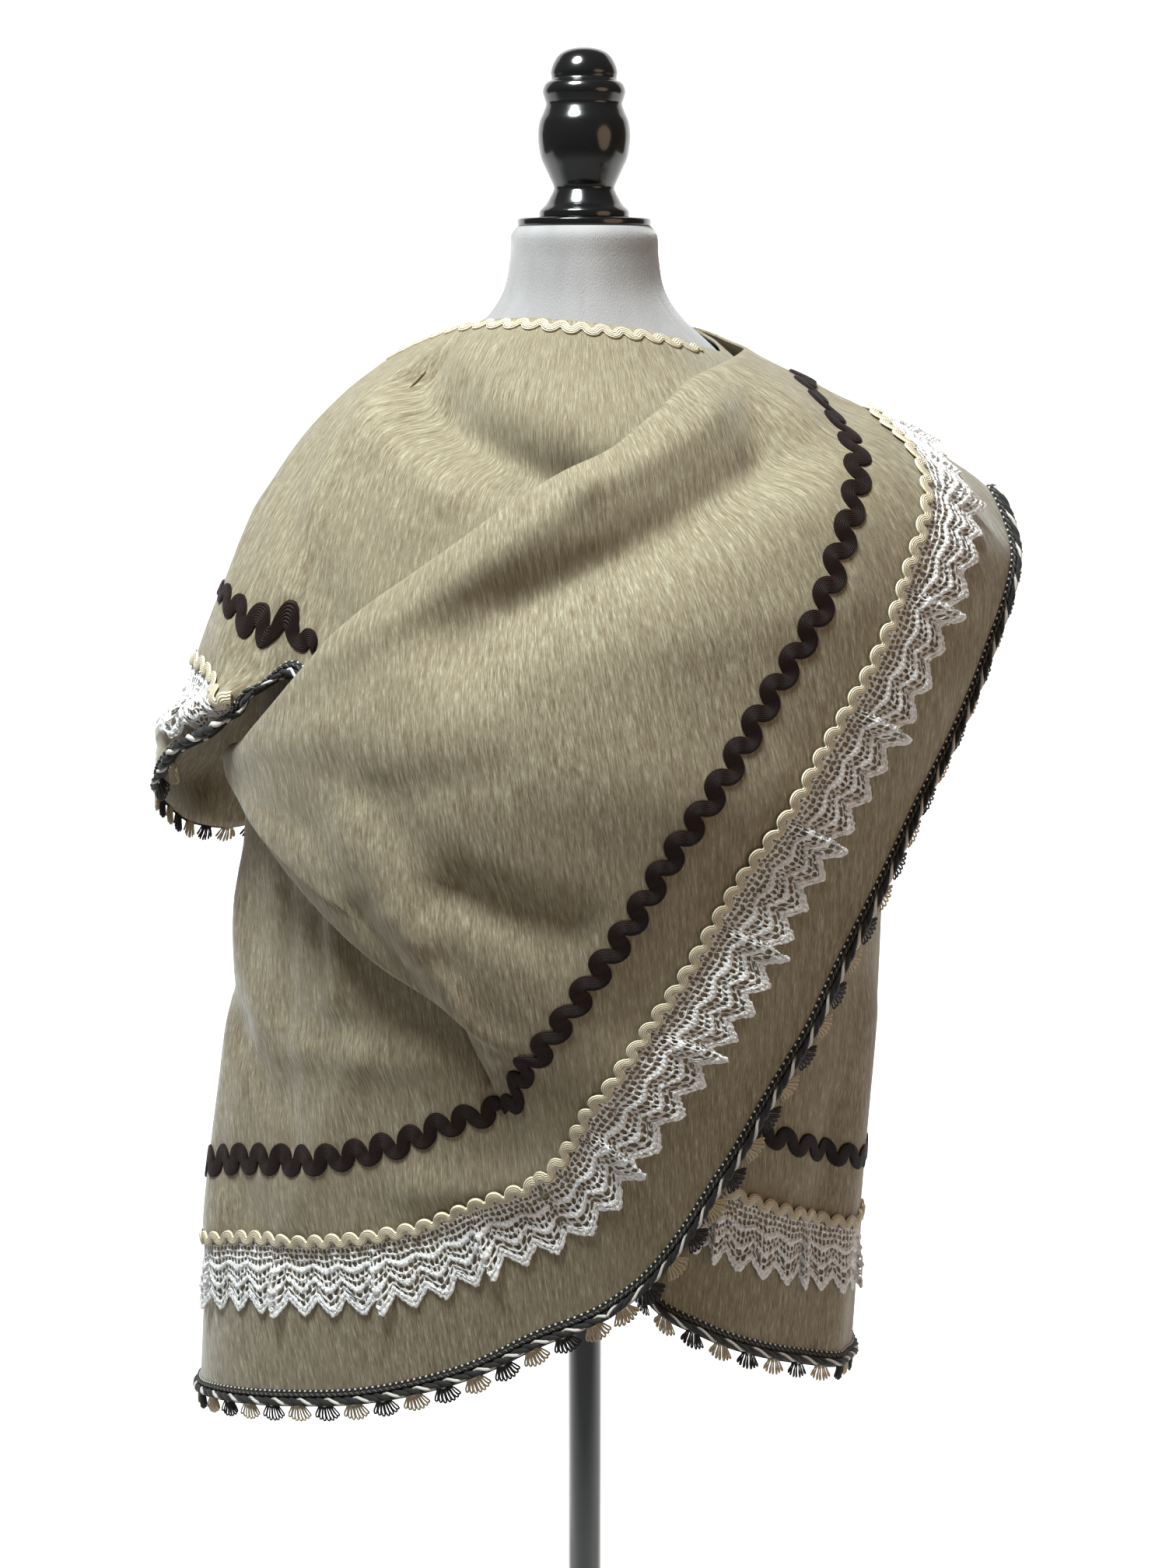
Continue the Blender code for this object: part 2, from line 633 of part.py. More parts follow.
def stand_pieces(materials, group):
    """Add the base, the pole, the neck plate and the finial."""
    base_profile = (
        (0.020, 0.060), (0.024, 0.056), (0.030, 0.040), (0.060, 0.033),
        (BASE_RADIUS - 0.012, BASE_HEIGHT - 0.006), (BASE_RADIUS - 0.003, BASE_HEIGHT - 0.010),
        (BASE_RADIUS, BASE_HEIGHT - 0.018), (BASE_RADIUS, 0.004), (BASE_RADIUS - 0.004, 0.0),
    )
    turned(base_profile, "stand_base", materials["gloss"], group)
    pole_low = 0.060 + SEAM_GAP
    pole_high = FORM_BOTTOM - SEAM_GAP
    turned(
        ((POLE_RADIUS, pole_high), (POLE_RADIUS, pole_low)),
        "stand_pole", materials["gloss"], group,
    )
    plate_low = FORM_TOP + SEAM_GAP
    plate_high = plate_low + PLATE_HEIGHT
    turned(
        ((PLATE_RADIUS - 0.001, plate_high), (PLATE_RADIUS, plate_high - 0.001),
         (PLATE_RADIUS, plate_low)),
        "neck_plate", materials["gloss"], group,
    )
    foot = plate_high + SEAM_GAP
    finial_profile = (
        (0.010, 0.1267), (0.020, 0.1215), (0.0265, 0.1080), (0.0256, 0.1035),
        (0.0305, 0.1000), (0.0325, 0.0945), (0.0300, 0.0850), (0.0352, 0.0720),
        (0.0365, 0.0610), (0.0345, 0.0460), (0.0262, 0.0280), (0.0240, 0.0230),
        (0.0300, 0.0110), (0.0357, 0.0050), (0.0357, 0.0),
    )
    turned(
        tuple((radius, foot + height) for radius, height in finial_profile),
        "finial", materials["gloss"], group,
    )


def make_materials():
    """Return the part's materials by plain names."""
    return {
        "cloth": make_material("khaki velvet", (0.36, 0.33, 0.23), 0.85),
        "braid": make_material("black and white braid", (0.09, 0.08, 0.075), 0.8),
        "lace": make_material("white cotton lace", (0.83, 0.82, 0.81), 0.9),
        "cream": make_material("cream rickrack", (0.78, 0.72, 0.56), 0.8),
        "brown": make_material("dark brown rickrack", (0.055, 0.036, 0.032), 0.75),
        "velvet": make_material("white form cover", (0.85, 0.85, 0.86), 0.9),
        "gloss": make_material("gloss black", (0.008, 0.008, 0.009), 0.15),
    }


# Where each trim runs, by rows of the rib table, and its braid's plain columns
Stretch = namedtuple("Stretch", "name braid lace cream brown plain_columns")
BACK_STRETCH = Stretch("back", (0, 14), (0, 14), (0, 14), (0, 14), 0)
LOWER_STRETCH = Stretch("lower", (0, 6.6), (0, 6.0), (0, 5.8), (0, 5.2), 0)
SLEEVE_STRETCH = Stretch("sleeve", (10.6, 22), (12.6, 20.6), (12.4, 20.6), (10.8, 20.2), 4)
RIGHT_STRETCH = Stretch("right", (0, 24), (0, 22.4), (0, 22.4), (0, 21.6), 0)


def sheet_trims(panel, stretch, materials, group):
    """Add the hem trims of one stretch of a sheet."""
    braid(panel, panel.span(*stretch.braid), stretch.plain_columns,
          stretch.name + "_braid", materials["braid"], group)
    lace(panel, panel.span(*stretch.lace), stretch.name + "_lace", materials["lace"], group)
    rickrack(panel.from_hem, CREAM_LINE, CREAM_BAND, CREAM_WAVE, panel.span(*stretch.cream),
             3, stretch.name + "_cream", materials["cream"], group)
    rickrack(panel.from_hem, BROWN_LINE, BROWN_BAND, BROWN_WAVE, panel.span(*stretch.brown),
             2, stretch.name + "_brown", materials["brown"], group)


def neck_trim(panel, span, name, materials, group):
    """Add the narrow rickrack of a neck edge."""
    rickrack(panel.from_top, NECK_LINE, NECK_BAND, NECK_WAVE, span, 2, name,
             materials["cream"], group)


def main():
    """Build the shawl and the form."""
    clear_scene()
    group = make_collection()
    materials = make_materials()

    back, back_places = cloth_grid(BACK_RIBS, BACK_FOLDS, 5)
    back = trim_seam(trim_seam(back, 0, FRONT_SEAM_SHARE), -1, SIDE_SEAM_SHARE)
    left, left_places = cloth_grid(LEFT_RIBS, LEFT_FOLDS, 4)
    right, right_places = cloth_grid(RIGHT_RIBS, RIGHT_FOLDS, 5)
    right = trim_seam(right, 0, FRONT_SEAM_SHARE)
    right_folds = np.array([rib_at(RIGHT_RIBS, place).fold for place in right_places])
    cloth_sheet(back, "back_panel", materials["cloth"], group)
    cloth_sheet(left, "left_end", materials["cloth"], group)
    cloth_sheet(rolled_edge(right, right_folds), "right_end", materials["cloth"], group)

    back_panel = Panel(back, back_places)
    left_panel = Panel(left, left_places)
    right_panel = Panel(right, right_places)
    sheet_trims(back_panel, BACK_STRETCH, materials, group)
    sheet_trims(left_panel, LOWER_STRETCH, materials, group)
    sheet_trims(left_panel, SLEEVE_STRETCH, materials, group)
    sheet_trims(right_panel, RIGHT_STRETCH, materials, group)
    neck_trim(back_panel, back_panel.span(8, 12), "back_neck_edge", materials, group)
    neck_trim(left_panel, left_panel.span(3.6, 14), "front_neck_edge", materials, group)

    form_body(materials["velvet"], group)
    stand_pieces(materials, group)


main()
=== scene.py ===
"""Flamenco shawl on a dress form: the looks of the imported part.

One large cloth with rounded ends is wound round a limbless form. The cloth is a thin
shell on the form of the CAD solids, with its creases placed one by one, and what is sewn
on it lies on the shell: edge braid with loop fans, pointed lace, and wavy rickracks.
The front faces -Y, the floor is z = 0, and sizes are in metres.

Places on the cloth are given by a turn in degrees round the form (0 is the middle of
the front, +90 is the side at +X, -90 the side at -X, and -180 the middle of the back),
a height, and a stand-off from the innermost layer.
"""

import math
from collections import namedtuple

import bmesh
import bpy
import numpy as np
from bpy.props import FloatProperty, FloatVectorProperty, PointerProperty
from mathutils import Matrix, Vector


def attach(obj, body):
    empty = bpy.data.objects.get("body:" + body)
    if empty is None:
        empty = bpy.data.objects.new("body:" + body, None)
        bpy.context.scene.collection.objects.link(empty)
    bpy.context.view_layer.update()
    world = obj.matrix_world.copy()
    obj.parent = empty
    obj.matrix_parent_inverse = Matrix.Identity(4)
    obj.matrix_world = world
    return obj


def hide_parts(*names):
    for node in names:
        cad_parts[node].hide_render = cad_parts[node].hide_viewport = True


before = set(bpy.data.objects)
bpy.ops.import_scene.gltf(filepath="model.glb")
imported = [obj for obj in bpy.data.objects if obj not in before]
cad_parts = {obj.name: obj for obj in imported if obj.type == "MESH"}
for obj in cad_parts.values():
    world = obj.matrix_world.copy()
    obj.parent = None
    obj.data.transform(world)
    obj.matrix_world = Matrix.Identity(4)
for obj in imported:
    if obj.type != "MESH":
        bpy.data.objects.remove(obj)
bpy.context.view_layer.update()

bl_info = {
    "name": "Flamenco Shawl on a Dress Form",
    "version": (1, 0, 0),
    "blender": (4, 5, 0),
    "location": "View3D > Sidebar > Shawl",
    "description": "Builds a trimmed velvet shawl wound round a limbless dress form",
    "category": "Add Mesh",
}


def rows_of(kind, *rows):
    """Return a table of one kind of rows."""
    return tuple(kind(*row) for row in rows)


# The innermost layer of cloth, as level rings
Ring = namedtuple("Ring", "height left right front back")
CLOTH_RINGS = rows_of(
    Ring,
    (0.4, 0.35, 0.236, 0.176, 0.19),
    (0.6, 0.332, 0.243, 0.18, 0.182),
    (0.75, 0.308, 0.25, 0.186, 0.172),
    (0.9, 0.284, 0.252, 0.19, 0.162),
    (1, 0.274, 0.25, 0.192, 0.156),
    (1.1, 0.262, 0.246, 0.186, 0.152),
    (1.2, 0.234, 0.23, 0.164, 0.146),
    (1.25, 0.21, 0.208, 0.144, 0.136),
    (1.29, 0.178, 0.172, 0.122, 0.12),
    (1.32, 0.142, 0.132, 0.1, 0.102),
    (1.345, 0.106, 0.102, 0.084, 0.086),
    (1.365, 0.081, 0.08, 0.073, 0.074),
    (1.385, 0.07, 0.07, 0.068, 0.068),
)

# The form under it: bottom, hips, waist, bust, shoulders and neck
FORM_RINGS = rows_of(
    Ring,
    (0.7, 0.146, 0.146, 0.098, 0.106),
    (0.712, 0.156, 0.156, 0.107, 0.115),
    (0.78, 0.164, 0.164, 0.112, 0.122),
    (0.86, 0.154, 0.154, 0.106, 0.116),
    (0.94, 0.127, 0.127, 0.093, 0.097),
    (1, 0.116, 0.116, 0.09, 0.086),
    (1.07, 0.127, 0.127, 0.106, 0.088),
    (1.14, 0.144, 0.144, 0.128, 0.095),
    (1.2, 0.158, 0.158, 0.126, 0.104),
    (1.25, 0.174, 0.174, 0.114, 0.11),
    (1.29, 0.158, 0.158, 0.1, 0.103),
    (1.32, 0.1265, 0.1265, 0.084, 0.0925),
    (1.345, 0.0992, 0.0992, 0.075, 0.0812),
    (1.365, 0.0772, 0.0772, 0.067, 0.0702),
    (1.385, 0.064, 0.064, 0.061, 0.062),
    (1.41, 0.059, 0.059, 0.058, 0.058),
    (1.428, 0.0576, 0.0576, 0.0576, 0.0576),
    (1.434, 0.053, 0.053, 0.053, 0.053),
)

# Each rib of cloth runs from the hem to the top edge
Rib = namedtuple(
    "Rib", "hem_turn hem_height hem_off top_turn top_height top_off bulge gather fold",
    defaults=(0.0, 1.0, 0.0),
)

BACK_RIBS = rows_of(
    Rib,
    (4.5, 0.588, 0.01, -62, 1.335, 0.003),
    (-5.4, 0.561, 0.005, -66, 1.338, 0.001),
    (-16.3, 0.523, 0.002, -72, 1.342, 0),
    (-30.7, 0.491, 0.001, -80, 1.348, 0),
    (-47, 0.468, 0, -88, 1.352, 0),
    (-66, 0.444, 0, -96, 1.356, 0),
    (-86, 0.42, 0, -106, 1.361, 0),
    (-108, 0.41, 0, -118, 1.365, 0),
    (-132, 0.408, 0, -135, 1.368, 0),
    (-156, 0.408, 0, -157, 1.37, 0),
    (-180, 0.412, 0, -180, 1.37, 0),
    (-204, 0.42, 0, -203, 1.37, 0),
    (-228, 0.434, 0, -226, 1.366, 0),
    (-250, 0.448, 0, -248, 1.358, 0),
    (-268, 0.456, 0.001, -268, 1.348, 0.001),
)

LEFT_RIBS = rows_of(
    Rib,
    (92, 0.456, 0.001, 92, 1.348, 0.001),
    (80, 0.464, 0.002, 78, 1.342, 0.003),
    (66, 0.482, 0.002, 66, 1.335, 0.005),
    (52, 0.502, 0.002, 56, 1.337, 0.006, 0.002),
    (35.5, 0.531, 0.003, 46, 1.342, 0.007, 0.003),
    (22.8, 0.56, 0.003, 36, 1.347, 0.008, 0.004),
    (12, 0.596, 0.003, 26, 1.352, 0.008, 0.004),
    (2, 0.68, 0.002, 15, 1.355, 0.008, 0.004),
    (-9, 0.789, 0.003, 4, 1.358, 0.008, 0.004),
    (-25, 0.924, 0.01, -10, 1.36, 0.008, 0.004),
    (-38, 1.02, 0.014, -24, 1.361, 0.008, 0.003, 0.42),
    (-53, 1.094, 0.018, -42, 1.359, 0.008, 0.002, 0.2),
    (-63, 1.05, 0.042, -62, 1.355, 0.008, 0.002, 0.38),
    (-72, 1.022, 0.062, -80, 1.343, 0.011, -0.002, 0.6),
    (-80, 0.985, 0.078, -92, 1.322, 0.017, -0.006, 0.82),
    (-92, 0.952, 0.074, -104, 1.318, 0.02, -0.006, 0.96),
    (-106, 0.915, 0.078, -114, 1.326, 0.018, -0.004),
    (-118, 0.903, 0.076, -124, 1.338, 0.014),
    (-132, 0.935, 0.056, -133, 1.348, 0.011, 0.002),
    (-146, 1, 0.034, -140, 1.355, 0.01, 0.003),
    (-157, 1.08, 0.02, -145, 1.359, 0.009, 0.002),
    (-165, 1.17, 0.013, -148, 1.361, 0.009, 0.001, 0.85),
    (-168, 1.262, 0.011, -149, 1.362, 0.009, 0, 0.5),
)

RIGHT_RIBS = rows_of(
    Rib,
    (4.5, 0.588, 0.01, -14.1, 0.803, 0.008),
    (11.8, 0.615, 0.012, -15.6, 0.818, 0.011, 0.004, 1, 0.05),
    (18, 0.651, 0.015, -17.5, 0.836, 0.015, 0.006, 1, 0.3),
    (24.1, 0.696, 0.017, -20.5, 0.854, 0.021, 0.007, 1, 0.6),
    (28.6, 0.729, 0.019, -34, 0.895, 0.03, 0.009, 1, 1),
    (32, 0.757, 0.021, -56, 0.974, 0.036, 0.012, 1, 1),
    (35, 0.78, 0.023, -71, 1.014, 0.035, 0.014, 1, 0.7),
    (38, 0.803, 0.026, -62, 1.032, 0.037, 0.013, 1, 0.8),
    (41, 0.826, 0.029, -52.7, 1.07, 0.04, 0.012, 1, 1),
    (46.3, 0.875, 0.034, -38.6, 1.136, 0.036, 0.012, 1, 1),
    (53, 0.93, 0.042, -27, 1.177, 0.032, 0.012, 1, 1),
    (60.7, 0.984, 0.05, -16, 1.212, 0.03, 0.012, 1, 1),
    (68, 1.04, 0.066, -5, 1.241, 0.029, 0.01, 1, 1),
    (74, 1.095, 0.086, 6, 1.261, 0.027, 0.008, 1, 1),
    (79, 1.14, 0.105, 17, 1.284, 0.026, 0.004, 1, 0.8),
    (84, 1.167, 0.112, 34, 1.307, 0.023, -0.002, 1, 0.5),
    (90, 1.198, 0.106, 66, 1.322, 0.018, -0.014, 1, 0.2),
    (99, 1.165, 0.098, 98, 1.333, 0.012, -0.014),
    (109, 1.11, 0.078, 112, 1.339, 0.012, -0.008),
    (121, 1.055, 0.056, 121, 1.343, 0.012),
    (135, 1.035, 0.036, 129, 1.345, 0.012, 0.002),
    (149, 1.055, 0.022, 136, 1.346, 0.012, 0.003),
    (160, 1.12, 0.014, 141, 1.347, 0.012, 0.002),
    (166, 1.2, 0.012, 144, 1.347, 0.012, 0.001, 0.75),
    (168, 1.275, 0.012, 145, 1.347, 0.012, 0, 0.45),
)

# Folds and creases: ridges rise and troughs fall along a line on the cloth
Fold = namedtuple("Fold", "turn_from height_from turn_to height_to width rise")

BACK_FOLDS = rows_of(
    Fold,
    (-44, 0.93, -42, 0.84, 0.016, 0.008),
    (-78, 0.98, -76, 0.6, 0.03, 0.008),
    (-118, 0.38, -121, 0.8, 0.03, 0.013),
    (-146, 0.38, -147, 0.86, 0.028, 0.012),
    (-172, 0.38, -173, 0.9, 0.032, 0.014),
    (-200, 0.38, -199, 0.84, 0.028, 0.012),
    (-226, 0.38, -222, 0.8, 0.03, 0.013),
    (-58, 0.93, -50, 0.7, 0.013, -0.004),
    (-92, 0.9, -88, 0.66, 0.018, -0.005),
    (-66, 0.76, -70, 0.55, 0.016, 0.0035),
    (-36, 0.8, -50, 0.62, 0.015, 0.003),
    (-133, 0.46, -133, 0.74, 0.016, -0.005),
    (-160, 0.42, -158, 0.66, 0.014, -0.004),
    (-187, 0.5, -188, 0.82, 0.018, -0.005),
    (-213, 0.44, -211, 0.7, 0.014, -0.004),
    (-238, 0.5, -240, 0.9, 0.02, -0.005),
    (-170, 1.2, -192, 1.16, 0.02, -0.003),
    (-47, 0.915, -44, 0.855, 0.008, -0.004),
    (-52, 0.79, -26, 0.8, 0.018, 0.006),
    (-86, 0.92, -62, 0.8, 0.02, 0.005),
    (-82, 0.82, -56, 0.74, 0.017, -0.005),
    (-24, 0.69, -2, 0.712, 0.018, 0.007),
    (-70, 0.66, -44, 0.6, 0.02, -0.004),
)

LEFT_FOLDS = rows_of(
    Fold,
    (-38, 1.3, 6, 1.235, 0.026, -0.01),
    (-62, 1.072, -104, 0.957, 0.018, 0.014),
    (60, 0.48, 66, 0.8, 0.03, 0.008),
    (-136, 1.24, -140, 1.06, 0.024, 0.008),
    (-64, 1.285, -34, 1.215, 0.018, 0.003),
    (-70, 1.235, -44, 1.135, 0.02, -0.004),
    (-84, 1.2, -68, 1.1, 0.018, 0.003),
    (-104, 1.18, -108, 1.02, 0.018, -0.004),
    (-122, 1.16, -124, 0.98, 0.016, 0.004),
    (50, 0.6, 53, 0.74, 0.014, -0.004),
    (78, 0.56, 80, 0.9, 0.022, -0.005),
    (-150, 1.2, -152, 1.08, 0.014, -0.003),
    (-58, 1.318, 3, 1.238, 0.019, -0.018),
    (-58, 1.285, -26, 1.232, 0.014, 0.005),
    (-58, 1.245, -57, 1.15, 0.009, 0.0025),
    (-86, 1.022, -60, 1.078, 0.006, 0.006),
    (-84, 1.008, -60, 1.066, 0.005, -0.005),
    (-80, 1, -61, 1.057, 0.005, 0.004),
)

RIGHT_FOLDS = rows_of(
    Fold,
    (38, 1.262, -18, 1.135, 0.03, -0.017),
    (-34, 0.995, -23, 0.92, 0.016, 0.009),
    (-30, 1.06, 26, 1.02, 0.04, 0.006),
    (8, 0.86, 28, 0.96, 0.034, -0.006),
    (118, 1.24, 126, 1.1, 0.024, 0.008),
    (-36, 1.03, -2, 0.9, 0.018, -0.004),
    (14, 1.135, 40, 1.15, 0.022, 0.003),
    (48, 1.215, 60, 1.12, 0.018, -0.003),
    (22, 0.8, 32, 0.9, 0.014, 0.003),
    (-24, 0.93, -12, 0.85, 0.012, -0.003),
    (84, 1.27, 80, 1.19, 0.016, -0.003),
    (106, 1.25, 108, 1.14, 0.018, -0.004),
    (134, 1.22, 142, 1.1, 0.016, -0.004),
    (70, 1.272, 34, 1.24, 0.018, -0.008),
    (36, 1.246, -12, 1.158, 0.016, -0.007),
    (34, 1.29, 0, 1.235, 0.012, 0.005),
    (0, 1.235, -40, 1.115, 0.014, 0.005),
    (-18, 0.952, -2, 0.93, 0.019, -0.012),
    (-30, 1.022, -12, 1.045, 0.016, -0.004),
    (-26, 0.935, -13, 0.82, 0.01, 0.006),
    (-33, 0.93, -19, 0.84, 0.01, -0.006),
    (-66, 1.03, -40, 1.062, 0.014, 0.004),
    (-62, 1, -40, 0.985, 0.012, -0.004),
)

DEGREE_LENGTH = 0.0042

# The shell's mesh and its hem zone, where the trims lie
HEM_DEPTH = 0.209
HEM_STEPS = 26
MOST_TRIMMED = 0.93
TOP_SHARE = 0.4
COLUMN_WIDTH = 0.0092
BACK_UPPER_ROWS = 70
RIGHT_UPPER_ROWS = 44
ROLL_ROWS = 8
ROLL_STEP = 0.0026
ROLL_TURN = 21
FACE = 0.0012
GRAIN_RADIUS = 0.24

# Where each trim runs, by rows of the rib table; its loop fans begin past plain_to
TrimRun = namedtuple("TrimRun", "name stretch braid lace cream brown plain_to")
TRIM_RUNS = (
    TrimRun("back", "back", (0, 14), (0, 14), (0, 14), (0, 14), None),
    TrimRun("lower", "left", (0, 6.6), (0, 6.0), (0, 5.8), (0, 5.2), None),
    TrimRun("sleeve", "left", (10.6, 22), (11.8, 20.6), (11.75, 20.6), (10.8, 20.2), 13.0),
    TrimRun("right", "right", (0, 24), (0, 22.4), (0, 22.4), (0, 21.6), None),
)

# How far in from the hem, and from the top edge, their middle lines lie
CREAM_LINE = 0.135
BROWN_LINE = 0.195
NECK_LINE = 0.0065

# Rickracks: width of the band, height of half a wave, and lift off the cloth
Wave = namedtuple("Wave", "band height lift")
CREAM_WAVE = Wave(0.0070, 0.0030, 0.0022)
BROWN_WAVE = Wave(0.0124, 0.0054, 0.0)
NECK_WAVE = Wave(0.0065, 0.0022, 0.0)
NECK_PERIOD = 0.016
NECK_RUNS = {"back": (8, 12), "left": (3.6, 14)}

# Where the lines leave their usual distance from the hem: by rows of the rib table,
# the lines and the share of the lace's depth that shows
LineShift = namedtuple("LineShift", "row cream brown lace")
SLEEVE_SHIFTS = rows_of(
    LineShift,
    (10.8, 0.04, 0.132, 0.08),
    (11.3, 0.04, 0.19, 0.08),
    (11.8, 0.052, 0.236, 0.12),
    (12.1, 0.092, 0.241, 0.45),
    (12.5, 0.129, 0.241, 0.86),
    (13, 0.138, 0.239, 1),
    (13.9, 0.144, 0.228, 1),
    (15.5, 0.135, 0.195, 1),
)
BACK_SHIFTS = rows_of(
    LineShift,
    (0, 0.135, 0.201, 1),
    (1.8, 0.137, 0.208, 1),
    (3, 0.144, 0.212, 1),
    (4.6, 0.15, 0.216, 1),
    (6.5, 0.148, 0.213, 1),
    (10, 0.135, 0.195, 1),
)
LINE_SHIFTS = {"sleeve": SLEEVE_SHIFTS, "back": BACK_SHIFTS}

# Bands of the lace, in millimetres below its top: depth, extra depth at the points,
# threads in one point, and whether its cells are open
LaceBand = namedtuple("LaceBand", "depth rise threads open")
LACE_BANDS = rows_of(
    LaceBand,
    (0, 0, 8, False),
    (2.6, 0, 7, True),
    (7, 0, 6, True),
    (11.8, 0.6, 5, True),
    (16.6, 2.2, 6, True),
    (21, 4.6, 8, False),
    (24, 5.8, 6, True),
    (28.6, 7.8, 7, True),
    (33, 9.2, 8, False),
    (36, 10.2, 4, True),
    (41, 11.6, 5, True),
    (45.4, 12.8, 9, False),
    (48.4, 13.4, 8, False),
    (52.5, 14, 8, False),
)
LACE_POINT = 0.027
LACE_THREAD = 0.54
LACE_TUCK_POINTS = 4
LACE_TUCK_SHARE = 0.62
LACE_TUCK_HEIGHT = 0.0066
LACE_TUCK_LEAN = 0.0050
LACE_RIPPLE = 0.0016
LACE_DRIFT = 0.00105
LACE_SWAY = 0.00090
LACE_LIFT = 0.0007
RIM_LIFT = 0.0003
CELL_SINK = -0.0005
CELL_ROUNDING = 0.80
MOUND_SHARE = 0.42
MOUND_RISE = 0.0012

# Edge braid: one turn of its thick cord, and where its parts lie, in from the hem
BRAID_TURN = 0.0283
BEADS_A_TURN = 5
TAPE_EDGES = (-0.0020, -0.0010, 0.0120, 0.0132)
TAPE_LIFTS = (0.0000, 0.0007, 0.0007, -0.0001)
CORD_LINE = 0.0040
CORD_LIFT = 0.0030
FINE_CORD_LINE = 0.0096
FINE_CORD_LIFT = 0.0019
BEAD_LINE = 0.0124
STITCH_LINE = -0.0006
NUB_LIFT = 0.0004
FAN_LINE = -0.0004
FAN_LOOPS = 7
FAN_LENGTH = 0.0146
FAN_SPREAD = 10
FAN_LEAN = 4
FAN_ROOT = 0.0017
LOOP_WIDTH = 0.0011
LOOP_RADIUS = 0.00085

# Turned pieces, down their outer side: radius and height
ROUND_BASE = (
    (0.018, 0.0600), (0.0205, 0.0585), (0.0235, 0.0540), (0.030, 0.0400), (0.044, 0.0350),
    (0.075, 0.0325), (0.150, 0.0285), (0.163, 0.0262), (0.1718, 0.0222), (0.1750, 0.0150),
    (0.1750, 0.0045), (0.1738, 0.0012), (0.1710, 0.0002),
)
POLE = ((0.0148, 0.6995), (0.0150, 0.6990), (0.0150, 0.0606), (0.0148, 0.0603))
NECK_PLATE = (
    (0.0505, 0.0060), (0.0520, 0.0057), (0.0530, 0.0046), (0.0530, 0.0012),
    (0.0524, 0.0002), (0.0515, 0.0000),
)
FINIAL = (
    (0.0040, 0.1266), (0.0100, 0.1262), (0.0162, 0.1240), (0.0208, 0.1205),
    (0.0245, 0.1145), (0.0262, 0.1085), (0.0256, 0.1045), (0.0268, 0.1025),
    (0.0305, 0.1000), (0.0325, 0.0945), (0.0310, 0.0885), (0.0300, 0.0850),
    (0.0322, 0.0790), (0.0352, 0.0720), (0.0365, 0.0610), (0.0345, 0.0460),
    (0.0300, 0.0360), (0.0262, 0.0280), (0.0240, 0.0230), (0.0248, 0.0200),
    (0.0300, 0.0110), (0.0345, 0.0065), (0.0357, 0.0045), (0.0357, 0.0008),
    (0.0352, 0.0001),
)
PLATE_HEIGHT = 1.4343
FINIAL_HEIGHT = PLATE_HEIGHT + 0.0063

# The form's sewn seams
SEAM_TURNS = (0.0, 62.0, 118.0, 180.0, 242.0, 298.0)
SEAM_WIDTH = 1.6
SEAM_DEPTH = 0.006
SEAM_TOP = 1.40

# The stage: a paper sweep that ends in a wall, and the view of the photograph
SWEEP_FRONT = -6.0
WALL_AT = 4.8
SWEEP_BEND = 1.2
SWEEP_HALF_WIDTH = 7.0
WALL_HEIGHT = 7.0
VIEW_PLACE = (0.003, -1.656, 1.399)
VIEW_TILT = 14.2
FOCAL_PIXELS = 2600.0
PHOTO_HEIGHT = 2016.0
SENSOR_HEIGHT = 36.0


def unit(vectors):
    """Return vectors made one long."""
    return vectors / np.linalg.norm(vectors, axis=-1, keepdims=True)


def blend(part, start, slope_start, end, slope_end):
    """Return a smooth curve's values between a start and an end, with their slopes."""
    return (
        (2 * part**3 - 3 * part**2 + 1) * start
        + (part**3 - 2 * part**2 + part) * slope_start
        + (3 * part**2 - 2 * part**3) * end
        + (part**3 - part**2) * slope_end
    )


def ring_sizes(rings, heights):
    """Return half-widths and depths at heights, on a smooth curve."""
    table = np.array(rings)
    levels = table[:, 0]
    sizes = table[:, 1:]
    heights = np.clip(heights, levels[0], levels[-1])
    low = np.clip(np.searchsorted(levels, heights) - 1, 0, len(levels) - 2)
    before = np.maximum(low - 1, 0)
    after = np.minimum(low + 2, len(levels) - 1)
    step = (levels[low + 1] - levels[low])[..., None]
    part = (heights - levels[low])[..., None] / step
    slope_low = (sizes[low + 1] - sizes[before]) / (levels[low + 1] - levels[before])[..., None]
    slope_high = (sizes[after] - sizes[low]) / (levels[after] - levels[low])[..., None]
    return blend(part, sizes[low], step * slope_low, sizes[low + 1], step * slope_high)


def ring_points(rings, turns, heights):
    """Return points of a ringed shape at turns in degrees and heights."""
    sizes = ring_sizes(rings, heights)
    across = np.sin(np.radians(turns))
    ahead = np.cos(np.radians(turns))
    half_width = np.where(across > 0, sizes[..., 1], sizes[..., 0])
    depth = np.where(ahead > 0, sizes[..., 2], sizes[..., 3])
    return np.stack([half_width * across, -depth * ahead, heights], axis=-1)


def cloth_places(turns, heights, offs):
    """Return points that stand off the innermost layer of cloth."""
    small_turn = 0.06
    small_rise = 0.001
    around = ring_points(CLOTH_RINGS, turns + small_turn, heights)
    around = around - ring_points(CLOTH_RINGS, turns - small_turn, heights)
    upward = ring_points(CLOTH_RINGS, turns, heights + small_rise)
    upward = upward - ring_points(CLOTH_RINGS, turns, heights - small_rise)
    normal = unit(np.cross(around, upward))
    return ring_points(CLOTH_RINGS, turns, heights) + normal * offs[..., None]


